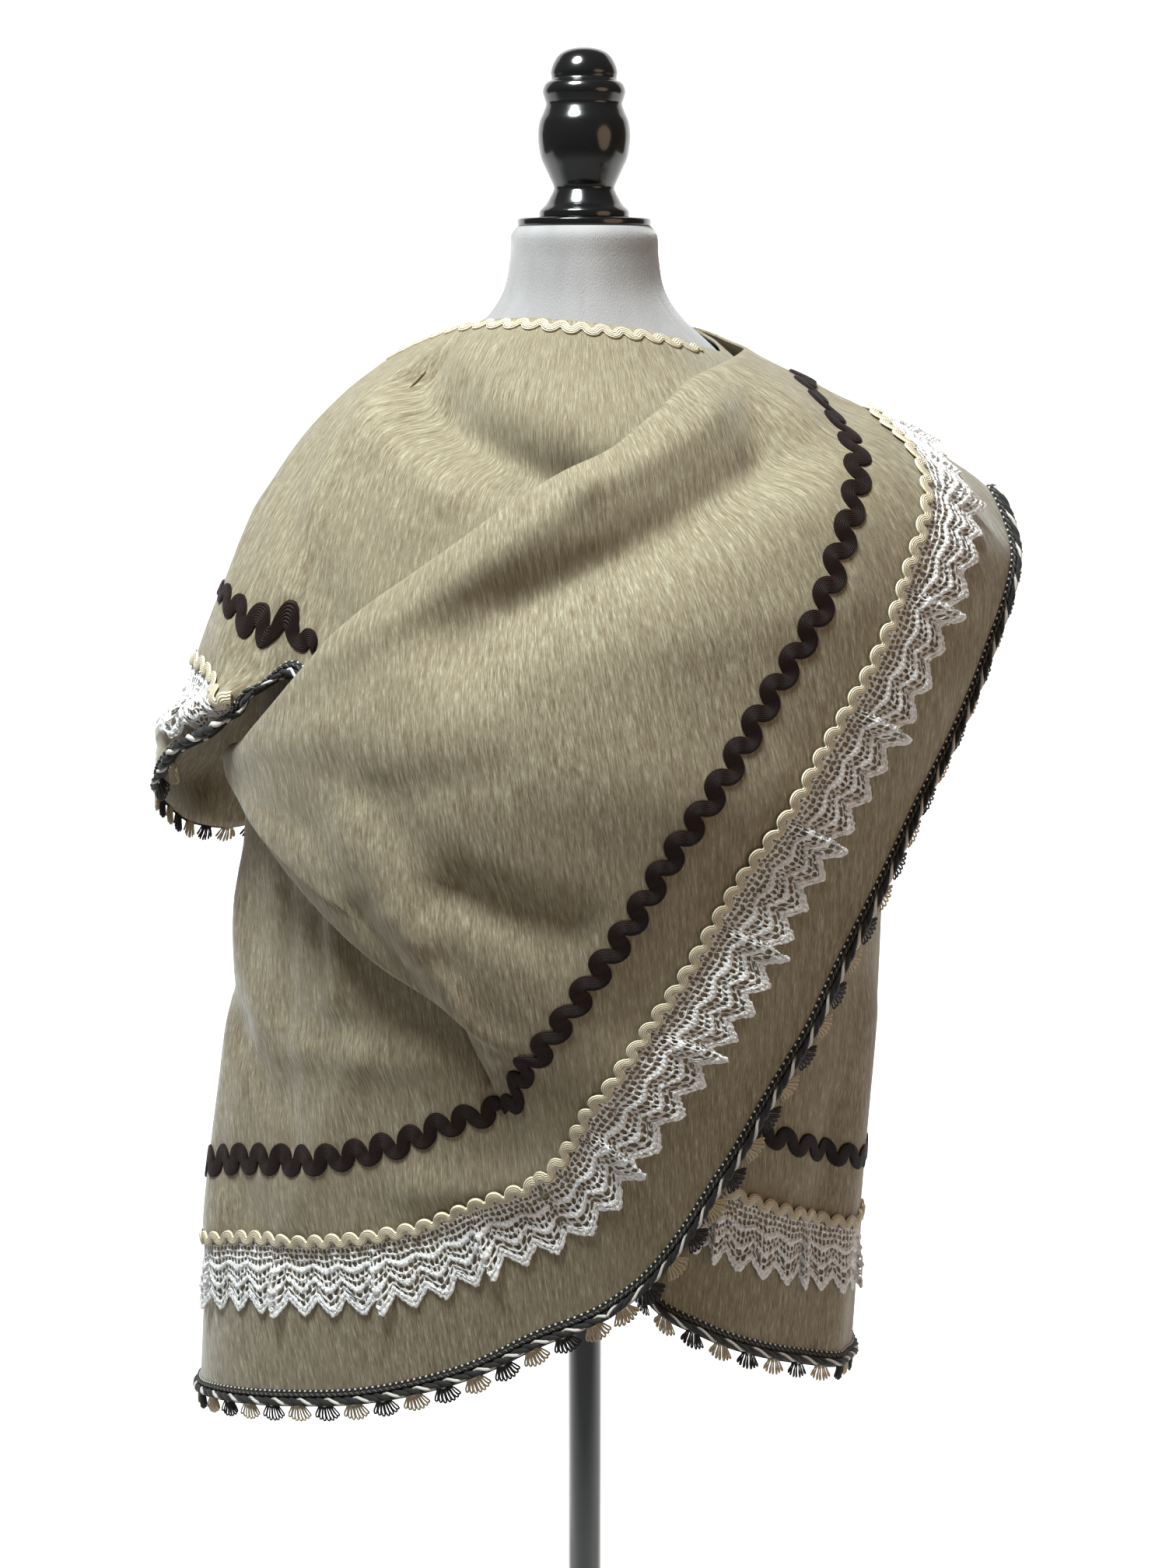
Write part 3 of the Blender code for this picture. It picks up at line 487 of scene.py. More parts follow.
def ribs_at(ribs, places):
    """Return the rib at each fractional row, on a smooth curve through the rows."""
    table = np.array(ribs)
    row = np.clip(places.astype(int), 0, len(table) - 2)
    part = (places - row)[:, None]
    start = table[row]
    end = table[row + 1]
    tangent_start = (end - table[np.maximum(row - 1, 0)]) / 2
    tangent_end = (table[np.minimum(row + 2, len(table) - 1)] - start) / 2
    return Rib(*blend(part, start, tangent_start, end, tangent_end).T)


def fold_heights(folds, turns, heights):
    """Return how far the folds lift the cloth at places."""
    total = np.zeros_like(turns)
    here = np.stack([turns * DEGREE_LENGTH, heights], axis=-1)
    for fold in folds:
        start = np.array([fold.turn_from * DEGREE_LENGTH, fold.height_from])
        end = np.array([fold.turn_to * DEGREE_LENGTH, fold.height_to])
        along = (here - start) @ (end - start) / np.dot(end - start, end - start)
        nearest = start + np.clip(along, 0.0, 1.0)[..., None] * (end - start)
        distance = np.linalg.norm(here - nearest, axis=-1) / fold.width
        total += fold.rise * np.exp(-distance * distance)
    return total


def rib_points(ribs, parts, folds):
    """Return points at parts of the way up each rib."""
    turns, heights, offs = (
        hem + (top - hem) * parts for hem, top in zip(ribs[:3], ribs[3:6])
    )
    offs = offs + ribs.bulge * 4 * parts * (1 - parts)
    offs = offs + fold_heights(folds, turns, heights)
    return cloth_places(turns, heights, offs)


def lengths_along(points):
    """Return the distance run along points, from their first axis's start."""
    steps = np.linalg.norm(np.diff(points, axis=0), axis=-1)
    return np.concatenate([np.zeros((1,) + steps.shape[1:]), np.cumsum(steps, axis=0)])


class Stretch:
    """One stretch of cloth as a fine grid, hem first, read at places by what lies on it."""

    def __init__(self, ribs, folds, upper_rows):
        fine = np.linspace(0.0, len(ribs) - 1.0, 12 * (len(ribs) - 1) + 1)
        hem = rib_points(ribs_at(ribs, fine), np.zeros_like(fine), folds)
        top = rib_points(ribs_at(ribs, fine), np.ones_like(fine), folds)
        hem_steps = np.linalg.norm(np.diff(hem, axis=0), axis=1)
        top_steps = np.linalg.norm(np.diff(top, axis=0), axis=1)
        steps = np.maximum(hem_steps, TOP_SHARE * top_steps)
        lengths = np.concatenate([[0.0], np.cumsum(steps)])
        count = round(lengths[-1] / COLUMN_WIDTH)
        self.places = np.interp(np.linspace(0.0, lengths[-1], count + 1), lengths, fine)
        self.ribs = ribs_at(ribs, self.places)
        self.columns = np.arange(count + 1)
        samples = np.linspace(0.0, 1.0, 101)
        heights = lengths_along(rib_points(self.ribs, samples[:, None], folds))
        total = heights[-1]
        self.gathers = np.minimum(self.ribs.gather, MOST_TRIMMED * total / HEM_DEPTH)
        hem_rows = np.linspace(0.0, HEM_DEPTH, HEM_STEPS + 1)[:, None] * self.gathers
        self.upper_step = (total - hem_rows[-1]) / upper_rows
        upper = hem_rows[-1] + self.upper_step * np.arange(1, upper_rows + 1)[:, None]
        wanted = np.concatenate([hem_rows, upper])
        parts = np.stack([
            np.interp(wanted[:, k], heights[:, k], samples) for k in self.columns
        ], axis=1)
        self.grid = rib_points(self.ribs, parts, folds)
        self.settle()

    def settle(self):
        """Work out which way the cloth faces at each point of the grid."""
        along = np.gradient(self.grid, axis=1)
        upward = np.gradient(self.grid, axis=0)
        normals = unit(np.cross(along, upward))
        outward = self.grid * np.array([1.0, 1.0, 0.0])
        self.winds_outward = bool(np.sum(normals * outward) > 0)
        self.normals = normals if self.winds_outward else -normals

    def meet(self, other, columns):
        """Bring the first edge onto another stretch's first edge, easing off over columns."""
        edge = lengths_along(other.grid[:, 0])
        own = lengths_along(self.grid[:, 0])
        target = np.stack([np.interp(own, edge, other.grid[:, 0, k]) for k in range(3)], axis=-1)
        target[:HEM_STEPS + 1] = other.grid[:HEM_STEPS + 1, 0]
        ease = np.clip(1.0 - self.columns / columns, 0.0, 1.0)
        ease = (ease * ease * (3.0 - 2.0 * ease))[:, None]
        self.grid = self.grid + (target - self.grid[:, 0])[:, None] * ease
        self.settle()

    def span(self, first, last):
        """Return the columns at two rows of the rib table."""
        return tuple(np.interp((first, last), self.places, self.columns))

    def read(self, row, column):
        """Return points and normals at fractional rows and columns."""
        row = np.clip(row, 0.0, len(self.grid) - 1.001)
        column = np.clip(column, 0.0, self.columns[-1] - 0.001)
        low = row.astype(int)
        left = column.astype(int)
        up = (row - low)[..., None]
        over = (column - left)[..., None]
        found = []
        for field in (self.grid, self.normals):
            near = field[low, left] * (1 - over) + field[low, left + 1] * over
            far = field[low + 1, left] * (1 - over) + field[low + 1, left + 1] * over
            found.append(near * (1 - up) + far * up)
        return found[0], unit(found[1])

    def from_hem(self, line, across, column, lift):
        """Return points on a line above the hem, moved up across it by a real size."""
        gather = np.interp(column, self.columns, self.gathers)
        distance = line + across / gather
        point, normal = self.read(np.maximum(distance, 0.0) / HEM_DEPTH * HEM_STEPS, column)
        edge, _ = self.read(np.zeros_like(distance), column)
        inner, _ = self.read(np.full_like(distance, 1.5), column)
        beyond = (np.minimum(distance, 0.0) * gather)[..., None]
        return point + unit(inner - edge) * beyond + normal * lift[..., None]

    def from_top(self, line, across, column, lift):
        """Return points on a line below the top edge, moved down across it."""
        step = np.interp(column, self.columns, self.upper_step)
        rows = len(self.grid) - 1 - (line - across) / step
        beyond = np.maximum(rows - (len(self.grid) - 1), 0.0) * step
        point, normal = self.read(rows, column)
        edge, _ = self.read(np.full_like(rows, len(self.grid) - 1.0), column)
        inner, _ = self.read(np.full_like(rows, len(self.grid) - 2.0), column)
        return point + unit(edge - inner) * beyond[..., None] + normal * lift[..., None]


class MeshParts:
    """Points and faces gathered for one mesh, with a finish number and UVs in metres."""

    def __init__(self):
        self.points = []
        self.faces = []
        self.finishes = []
        self.maps = []
        self.count = 0

    def add(self, points, faces, uvs, finish=0):
        """Add points, faces that index them, and a UV for each point."""
        self.points.append(points.reshape(-1, 3))
        self.maps.append(uvs.reshape(-1, 2))
        self.faces += [tuple(int(k) + self.count for k in face) for face in faces]
        self.finishes += [finish] * len(faces)
        self.count += self.points[-1].shape[0]

    def add_grid(self, points, uvs, finish=0, closed=False):
        """Add strips of equal sections: points are (strip, section, side, xyz)."""
        strips, sections, sides = points.shape[:3]
        index = np.arange(strips * sections * sides).reshape(strips, sections, sides)
        after = np.roll(index, -1, axis=2)
        last = sides if closed else sides - 1
        quads = np.stack([
            index[:, :-1, :last], index[:, 1:, :last],
            after[:, 1:, :last], after[:, :-1, :last],
        ], axis=-1)
        self.add(points, quads.reshape(-1, 4).tolist(), uvs, finish)

    def build(self, name, finishes):
        """Make the object."""
        mesh = bpy.data.meshes.new(name)
        mesh.from_pydata(np.concatenate(self.points).tolist(), [], self.faces)
        for material in finishes:
            mesh.materials.append(material)
        mesh.polygons.foreach_set("material_index", self.finishes)
        uvs = np.concatenate(self.maps)
        corners = np.zeros(len(mesh.loops), dtype=np.int32)
        mesh.loops.foreach_get("vertex_index", corners)
        layer = mesh.uv_layers.new(name="metres")
        layer.data.foreach_set("uv", uvs[corners].astype(np.float32).ravel())
        mesh.shade_smooth()
        mesh.validate()
        item = bpy.data.objects.new(name, mesh)
        bpy.context.scene.collection.objects.link(item)
        return item


class Value:
    """A shader value: arithmetic written with it adds its Math nodes."""

    def __init__(self, finish, socket):
        self.finish = finish
        self.socket = socket

    def maths(self, operation, first, second):
        return self.finish.node("ShaderNodeMath", {"operation": operation}, {0: first, 1: second})

    def __add__(self, other):
        return self.maths("ADD", self, other)

    def __radd__(self, other):
        return self.maths("ADD", other, self)

    def __sub__(self, other):
        return self.maths("SUBTRACT", self, other)

    def __rsub__(self, other):
        return self.maths("SUBTRACT", other, self)

    def __mul__(self, other):
        return self.maths("MULTIPLY", self, other)

    def __rmul__(self, other):
        return self.maths("MULTIPLY", other, self)

    def __pow__(self, other):
        return self.maths("POWER", self, other)


class Finish:
    """One material, built from nodes."""

    def __init__(self, name, roughness, sheen=0.0, sheen_roughness=0.5, coat=0.0):
        self.material = bpy.data.materials.new(name)
        self.material.use_nodes = True
        self.tree = self.material.node_tree
        self.shader = self.tree.nodes["Principled BSDF"]
        self.feed("Roughness", roughness)
        self.feed("Sheen Weight", sheen)
        self.feed("Sheen Roughness", sheen_roughness)
        self.feed("Coat Weight", coat)

    def feed(self, socket, value):
        """Set or link one of the shader's sockets."""
        self.join(value, self.shader.inputs[socket])

    def join(self, value, socket):
        """Set a socket to a plain value, or link a shader value to it."""
        if isinstance(value, Value):
            self.tree.links.new(value.socket, socket)
        else:
            socket.default_value = value

    def node(self, kind, settings, inputs, output=0):
        """Add a node: its settings first, then the values or links of its sockets."""
        node = self.tree.nodes.new(kind)
        for name, value in settings.items():
            setattr(node, name, value)
        for name, value in inputs.items():
            self.join(value, node.inputs[name])
        return Value(self, node.outputs[output])

    def metres(self, across, along):
        """Return UV places in metres, scaled across and along."""
        places = self.node("ShaderNodeUVMap", {"uv_map": "metres"}, {})
        return self.node("ShaderNodeMapping", {}, {0: places, "Scale": (across, along, 1.0)})

    def solid_places(self, scale):
        """Return places in the piece's own space, scaled."""
        places = self.node("ShaderNodeTexCoord", {}, {}, "Object")
        return self.node("ShaderNodeMapping", {}, {0: places, "Scale": scale})

    def noise(self, places, detail=2.0, roughness=0.5):
        """Return soft noise of one cell per unit of place."""
        inputs = {"Vector": places, "Scale": 1.0, "Detail": detail, "Roughness": roughness}
        return self.node("ShaderNodeTexNoise", {}, inputs)

    def spread(self, value, low, high):
        """Return a value stretched so that low is 0 and high is 1."""
        return self.node("ShaderNodeMapRange", {}, {0: value, 1: low, 2: high})

    def mix(self, share, first, second):
        """Return a colour between two, by a share."""
        inputs = {0: share, 6: first, 7: second}
        return self.node("ShaderNodeMix", {"data_type": "RGBA"}, inputs, 2)

    def shade(self, share, colour, dark, light):
        """Colour the surface between a darker and a lighter tint, by a share."""
        self.feed("Base Color", self.mix(share, tint(colour, dark), tint(colour, light)))

    def bump(self, height, distance, strength=1.0):
        """Raise the surface by a height."""
        inputs = {"Height": height, "Distance": distance, "Strength": strength}
        self.feed("Normal", self.node("ShaderNodeBump", {}, inputs))


def tint(colour, share, warmth=0.0):
    """Return a colour with alpha, made lighter or darker, and warmer or cooler."""
    red, green, blue = (channel * share for channel in colour)
    return (min(red * (1 + warmth), 1.0), min(green, 1.0), min(blue * (1 - warmth), 1.0), 1.0)


def velvet_cloth(colour):
    """Return pile fabric with short uneven streaks along its grain, a soft sheen, and specks of
    painted highlight.
    """
    finish = Finish("shawl velvet", 0.82, sheen=0.32, sheen_roughness=0.4)
    streaks = finish.noise(finish.metres(900.0, 95.0), 3.0, 0.62)
    long_streaks = finish.noise(finish.metres(330.0, 26.0), 2.0)
    grains = finish.noise(finish.metres(2100.0, 1100.0), 1.0)
    cloud = finish.noise(finish.solid_places((8.0, 8.0, 8.0)), 3.0)
    tone = finish.spread(streaks * 0.66 + long_streaks * 0.34, 0.38, 0.62)
    dark_light = finish.mix(tone, tint(colour, 0.50, 0.16), tint(colour, 1.45, -0.07))
    share = finish.spread(cloud, 0.35, 0.7) * 0.35
    cloudy = finish.mix(share, dark_light, tint(colour, 1.12))
    # Specks of painted highlight: the base colour turns near white at them, and the pile is also
    # less rough there
    painted_glints = finish.spread(grains * tone, 0.40, 0.60)
    finish.feed("Base Color", finish.mix(painted_glints * 0.6, cloudy, tint(colour, 2.1, -0.08)))
    finish.feed("Roughness", 0.84 - painted_glints * 0.3)
    finish.bump(streaks * 0.7 + grains * 0.3, 0.0009, 0.8)
    return finish.material


def yarn(name, colour, sheen=0.1, roughness=0.75):
    """Return twisted cotton yarn."""
    finish = Finish(name, roughness, sheen=sheen)
    fibres = finish.noise(finish.metres(2600.0, 700.0), 2.0)
    finish.shade(fibres, colour, 0.7, 1.3)
    finish.bump(fibres, 0.0003)
    return finish.material


def lace_cotton(colour):
    """Return crocheted cotton, with painted shade in the hollows of its relief."""
    finish = Finish("lace cotton", 0.8, sheen=0.3)
    threads = finish.noise(finish.metres(1300.0, 620.0), 2.0, 0.6)
    knots = finish.noise(finish.metres(520.0, 900.0), 2.0, 0.6)
    relief = threads * 0.5 + knots * 0.5
    # Painted shade: the colour follows the relief and is darker in its hollows
    share = finish.spread(relief, 0.38, 0.58)
    finish.shade(share, colour, 0.86, 1.08)
    finish.bump(relief, 0.0010)
    return finish.material


def ribbed_braid(name, colour, ribs, sheen=0.15, roughness=0.65):
    """Return rickrack with fine ribs that run along it, with painted shade in the grooves between
    them.
    """
    finish = Finish(name, roughness, sheen=sheen)
    finish.feed("Specular IOR Level", 0.2)
    places = finish.metres(1.0, 1.0)
    across = finish.node("ShaderNodeSeparateXYZ", {}, {0: places}, "Y")
    rib = finish.node("ShaderNodeMath", {"operation": "SINE"}, {0: across * ribs})
    fibres = finish.noise(finish.metres(900.0, 2200.0), 2.0)
    height = rib * 0.5 + 0.5
    # Painted shade in the grooves: the colour follows the ribs' height, with random tone from the
    # fibres
    share = finish.spread(height * 0.7 + fibres * 0.5, 0.1, 1.0)
    finish.shade(share, colour, 0.66, 1.16)
    finish.bump(height + fibres * 0.4, 0.0009)
    return finish.material


def form_velvet(colour):
    """Return the form's short-pile cover."""
    finish = Finish("form cover", 0.8, sheen=0.5, sheen_roughness=0.4)
    pile = finish.noise(finish.solid_places((1400.0, 1400.0, 500.0)), 2.0)
    brushed = finish.noise(finish.solid_places((30.0, 30.0, 9.0)), 3.0)
    share = finish.spread(brushed * 0.7 + pile * 0.3, 0.35, 0.65)
    finish.shade(share, colour, 0.84, 1.05)
    finish.bump(pile, 0.0004)
    return finish.material


def gloss_paint(colour):
    """Return black lacquer with faint wear in its gloss."""
    finish = Finish("black lacquer", 0.2, coat=0.6)
    smears = finish.noise(finish.solid_places((26.0, 26.0, 26.0)), 3.0)
    specks = finish.noise(finish.solid_places((900.0, 900.0, 900.0)), 1.0)
    worn = finish.spread(specks, 0.66, 0.78)
    finish.shade(worn * 0.4, colour, 1.0, 3.0)
    finish.feed("Roughness", finish.spread(smears, 0.3, 0.75) * 0.12 + 0.12)
    finish.bump(smears, 0.0002)
    return finish.material


def glowing_paper(name, front, behind, glow):
    """Return the stage's paper: pale in front, and whiter behind the form, where it glows with
    painted light.
    """
    finish = Finish(name, 0.9)
    places = finish.solid_places((1.0, 1.0, 1.0))
    grain = finish.noise(finish.solid_places((40.0, 40.0, 40.0)), 2.0)
    depth = finish.node("ShaderNodeSeparateXYZ", {}, {0: places}, "Y")
    behind_form = finish.spread(depth, -0.6, 0.4)
    paper = finish.mix(behind_form, tint(front, 1.0), tint(behind, 1.0))
    finish.feed("Base Color", finish.mix(grain * 0.03, paper, tint(front, 0.9)))
    # Painted light: behind the form the paper glows, though it is no lamp
    finish.feed("Emission Color", finish.mix(behind_form, (0.0, 0.0, 0.0, 1.0), tint(behind, 1.0)))
    finish.feed("Emission Strength", glow)
    return finish.material


def roll_under(grid, folds):
    """Return a grid whose top edge goes on in a soft roll to its inner side, by each fold."""
    edge = unit(np.gradient(grid[-1], axis=0))
    facing = np.cross(edge, unit(grid[-1] - grid[-4]))
    if np.sum(facing * grid[-1] * np.array([1.0, 1.0, 0.0])) < 0:
        facing = -facing
    reach = 6
    padded = np.pad(facing, ((reach, reach), (0, 0)), mode="edge")
    normal = unit(sum(padded[k:k + len(edge)] for k in range(2 * reach + 1)))
    ahead = unit(np.cross(edge, normal))
    if np.sum(ahead * (grid[-1] - grid[-4])) < 0:
        ahead = -ahead
    rows = [grid[-1]]
    for k in range(1, ROLL_ROWS + 1):
        bend = np.radians(ROLL_TURN * k * folds)[:, None]
        step = ahead * np.cos(bend) - normal * np.sin(bend)
        rows.append(rows[-1] + step * ROLL_STEP * np.clip(folds * 2, 0.15, 1.0)[:, None])
    return np.concatenate([grid, np.array(rows[1:])])


def grain_map(grid, lean):
    """Return UVs in metres whose second axis runs along the cloth's grain."""
    turn = np.unwrap(np.arctan2(grid[..., 0], -grid[..., 1]), axis=1)
    turn = turn - 2 * np.pi * np.round(turn[:1, :1] / (2 * np.pi))
    across = turn * GRAIN_RADIUS
    drop = grid[..., 2] - 0.5 * np.hypot(grid[..., 0], grid[..., 1])
    angle = math.radians(lean)
    return np.stack([
        across * math.cos(angle) + drop * math.sin(angle),
        drop * math.cos(angle) - across * math.sin(angle),
    ], axis=-1)


def make_stretches():
    """Return the three stretches of cloth by name."""
    back = Stretch(BACK_RIBS, BACK_FOLDS, BACK_UPPER_ROWS)
    left = Stretch(LEFT_RIBS, LEFT_FOLDS, BACK_UPPER_ROWS)
    right = Stretch(RIGHT_RIBS, RIGHT_FOLDS, RIGHT_UPPER_ROWS)
    right.meet(back, 10.0)
    return {"back": back, "left": left, "right": right}


def shawl_cloth(stretches, finish, wall):
    """Make the whole cloth as one thin shell."""
    parts = MeshParts()
    leans = {"back": 8.0, "left": 0.0, "right": 8.0}
    for name, stretch in stretches.items():
        grid = stretch.grid
        if name == "right":
            grid = roll_under(grid, np.clip(stretch.ribs.fold, 0.0, 1.0))
        facing = grid if stretch.winds_outward else grid[:, ::-1]
        uvs = grain_map(grid, leans[name])
        uvs = uvs if stretch.winds_outward else uvs[:, ::-1]
        parts.add_grid(facing[None], uvs[None])
    item = parts.build("shawl_cloth", [finish])
    shape = bmesh.new()
    shape.from_mesh(item.data)
    bmesh.ops.remove_doubles(shape, verts=shape.verts[:], dist=0.0004)
    shape.to_mesh(item.data)
    shape.free()
    shell = item.modifiers.new("wall", "SOLIDIFY")
    shell.thickness = wall
    shell.offset = 0.0
    shell.use_rim = True
    shell.use_quality_normals = False
    solid = bpy.data.meshes.new_from_object(
        item.evaluated_get(bpy.context.evaluated_depsgraph_get()))
    item.modifiers.clear()
    item.data = solid
    return item


class Line:
    """A line on a stretch, run along in metres."""

    def __init__(self, stretch, reader, line, rows, run_name="", field="cream"):
        self.reader = reader
        span = stretch.span(*rows)
        self.columns = np.linspace(span[0], span[1], int(2 * (span[1] - span[0])) + 2)
        self.levels = np.full_like(self.columns, line)
        self.shown = np.ones_like(self.columns)
        if run_name in LINE_SHIFTS:
            places = np.interp(self.columns, stretch.columns, stretch.places)
            shifts = LINE_SHIFTS[run_name]
            rows = [shift.row for shift in shifts]
            self.levels = np.interp(places, rows, [getattr(shift, field) for shift in shifts])
            self.shown = np.interp(places, rows, [shift.lace for shift in shifts])
        zero = np.zeros_like(self.columns)
        self.lengths = lengths_along(reader(self.levels, zero, self.columns, zero))
        self.length = self.lengths[-1]

    def place(self, run, across, lift):
        """Return points at runs along the line, across it and above the cloth."""
        run, across, lift = np.broadcast_arrays(run, across, lift)
        column = np.interp(run, self.lengths, self.columns)
        level = np.interp(run, self.lengths, self.levels)
        return self.reader(level, across, column, lift)

    def share_shown(self, run):
        """Return the share of a lace's depth that shows at runs along the line."""
        return np.interp(run, self.lengths, self.shown)


def rickrack(name, line, period, wave, finish):
    """Make a wavy woven braid on a line."""
    halves = 2 * max(round(line.length / period), 1)
    quarter = line.length / halves / 2
    bend = 2 * math.atan(wave.height / quarter)
    radius = quarter / math.sin(bend)
    steps = 12
    whole = np.arange(halves * steps + 1)
    half = np.minimum(whole // steps, halves - 1)
    sign = np.where(half % 2 == 0, 1.0, -1.0)
    phase = bend * (2 * (whole - half * steps) / steps - 1)
    run = quarter * (2 * half + 1) + radius * np.sin(phase)
    across = sign * radius * (np.cos(phase) - math.cos(bend))
    lean = np.stack([sign * np.sin(phase), np.cos(phase)], axis=-1)
    section = np.array([
        (-1.0, -0.0002), (-1.0, 0.0010), (-0.86, 0.0016), (-0.4, 0.0019), (0.4, 0.0019),
        (0.86, 0.0016), (1.0, 0.0010), (1.0, -0.0002),
    ])
    offset = section[:, 0] * wave.band / 2
    lift = FACE + wave.lift + section[:, 1]
    runs = np.clip(run[:, None] + lean[:, :1] * offset, 0.0, line.length)
    points = line.place(runs, across[:, None] + lean[:, 1:] * offset, lift)
    along = np.broadcast_to((whole * radius * 2 * bend / steps)[:, None], runs.shape)
    uvs = np.stack([along, np.broadcast_to(offset, runs.shape)], axis=-1)
    parts = MeshParts()
    parts.add_grid(points[None], uvs[None])
    return parts.build(name, [finish])


def lace_tooth(share):
    """Return how far down a point of the lace reaches, from notch 0 to tip 1."""
    return 1.0 - (np.sqrt((2.0 * share - 1.0) ** 2 + 0.03) - 0.1732) / 0.8417


class LaceRun:
    """The points of a lace on a line: every fourth one is narrow, pinched into a tuck."""

    def __init__(self, line):
        self.line = line
        tuck_width = LACE_POINT * LACE_TUCK_SHARE
        widths = []
        while sum(widths) < line.length - LACE_POINT / 2:
            widths.append(LACE_POINT if (len(widths) + 2) % LACE_TUCK_POINTS else tuck_width)
        self.count = len(widths)
        self.tucked = np.array(widths) < LACE_POINT
        self.edges = np.concatenate([[0.0], np.cumsum(widths)]) * line.length / sum(widths)

    def shape(self, place):
        """Return the run, the tooth and the tuck at places counted in points."""
        place = np.clip(place, 0.0, self.count - 0.0001)
        point = place.astype(int)
        share = place - point
        run = np.interp(place, np.arange(self.count + 1), self.edges)
        late = np.where(share > 0.6, (share - 0.6) / 0.13, (share - 0.6) / 0.34)
        tuck = np.where(self.tucked[point], np.exp(-late * late), 0.0)
        ripple = 0.5 - 0.5 * np.cos(2 * np.pi * (share + 0.2 * np.sin(point * 2.3)))
        return run, lace_tooth(share), tuck, ripple

    def surface(self, place, depth, rise, lift):
        """Return points at places, depths in millimetres and small lifts."""
        run, tooth, tuck, ripple = self.shape(place)
        down = (depth + rise * tooth) / 1000
        drift = np.sin(run * 1130.0 + down * 760.0) * np.sin(down * 1510.0 - run * 417.0)
        sway = np.sin(run * 905.0 - down * 1240.0) * np.sin(run * 311.0 + down * 650.0)
        loose = np.clip(down / 0.004, 0.0, 1.0)
        free = np.clip((down - 0.008) / 0.03, 0.0, 1.0)
        height = FACE + LACE_LIFT + lift + free * (LACE_TUCK_HEIGHT * tuck + LACE_RIPPLE * ripple)
        flat = np.stack([run, down], axis=-1)
        run = run + LACE_DRIFT * drift * loose + LACE_TUCK_LEAN * tuck * free
        down = (down + LACE_SWAY * sway * loose) * self.line.share_shown(run)
        return self.line.place(run, -down, height), flat

    def cells(self, band, below, first, corners, lift):
        """Return points at corners of a band's cells, as shares of their width and height."""
        place = (first[:, None] + corners[:, 0]) / band.threads
        depth = band.depth + (below.depth - band.depth) * corners[:, 1]
        rise = band.rise + (below.rise - band.rise) * corners[:, 1]
        return self.surface(place, depth, rise, lift)


# A cell's rim: corners and mid-edges, as shares of its width and height
CELL_RIM = np.array([
    (0.0, 0.0), (0.5, 0.0), (1.0, 0.0), (1.0, 0.5), (1.0, 1.0), (0.5, 1.0), (0.0, 1.0), (0.0, 0.5),
])


def lace(name, line, finish):
    """Make a pointed lace below a line: a net of open cells between dense trails."""
    run = LaceRun(line)
    parts = MeshParts()
    rim = CELL_RIM
    for row, (band, below) in enumerate(zip(LACE_BANDS, LACE_BANDS[1:])):
        first = np.arange(run.count * band.threads) + (0.5 if row % 2 else 0.0)
        outer, outer_uv = run.cells(band, below, first, rim, RIM_LIFT)
        width = LACE_POINT * 1000 / band.threads
        height = below.depth - band.depth
        if band.open:
            keep = np.array([1 - 2 * LACE_THREAD / width, 1 - 2 * LACE_THREAD / height])
            at_corner = np.abs(rim - 0.5).sum(axis=1) > 0.75
            keep = keep * np.where(at_corner, CELL_ROUNDING, 1.0)[:, None]
            inner = 0.5 + (rim - 0.5) * keep
            lift = CELL_SINK
        else:
            inner = 0.5 + (rim - 0.5) * MOUND_SHARE
            lift = MOUND_RISE if band.depth else 0.0
        middle, middle_uv = run.cells(band, below, first, inner, lift)
        rings = np.stack([outer, middle], axis=1)
        uvs = np.stack([outer_uv, middle_uv], axis=1)
        parts.add_grid(rings, uvs, closed=True)
        if not band.open:
            cells = np.arange(len(first) * 8).reshape(-1, 8)
            parts.add(middle, cells.tolist(), middle_uv)
    return parts.build(name, [finish])


def strand(parts, line, run, across, lift, radius, sides, finish):
    """Add round strands: run, across and lift are (strand, section)."""
    ahead = np.stack([np.gradient(run, axis=1), np.gradient(across, axis=1)], axis=-1)
    ahead = unit(ahead + 1e-9)
    turn = np.arange(sides) * 2 * np.pi / sides
    side = np.cos(turn) * radius
    rise = np.sin(turn) * radius
    runs = run[..., None] - ahead[..., 1:] * side
    crosses = across[..., None] + ahead[..., :1] * side
    points = line.place(np.clip(runs, 0.0, line.length), crosses, lift[..., None] + rise)
    steps = np.linalg.norm(np.diff(points[:, :, 0], axis=1), axis=-1)
    along = np.concatenate([np.zeros((len(steps), 1)), np.cumsum(steps, axis=1)], axis=1)
    uvs = np.stack([
        np.broadcast_to(turn * radius, runs.shape),
        np.broadcast_to(along[..., None], runs.shape),
    ], axis=-1)
    parts.add_grid(points, uvs, finish, closed=True)


def nubs(parts, line, run, across, lift, long, wide, high, slant, finish):
    """Add small domes on the cloth: stitches and beads."""
    turn = np.arange(7) * 2 * np.pi / 7
    rings = []
    for share, rise in ((1.0, 0.0), (0.82, 0.6), (0.35, 0.96), (0.02, 1.0)):
        along = np.cos(turn) * long * share
        over = np.sin(turn) * wide * share
        along, over = along - over * slant, over + along * slant
        rings.append(line.place(
            np.clip(run[:, None] + along, 0.0, line.length), across + over, lift + high * rise))
    points = np.stack(rings, axis=1)
    uvs = np.zeros(points.shape[:-1] + (2,))
    uvs[..., 0] = turn * wide
    uvs[..., 1] = run[:, None, None]
    parts.add_grid(points, uvs, finish, closed=True)


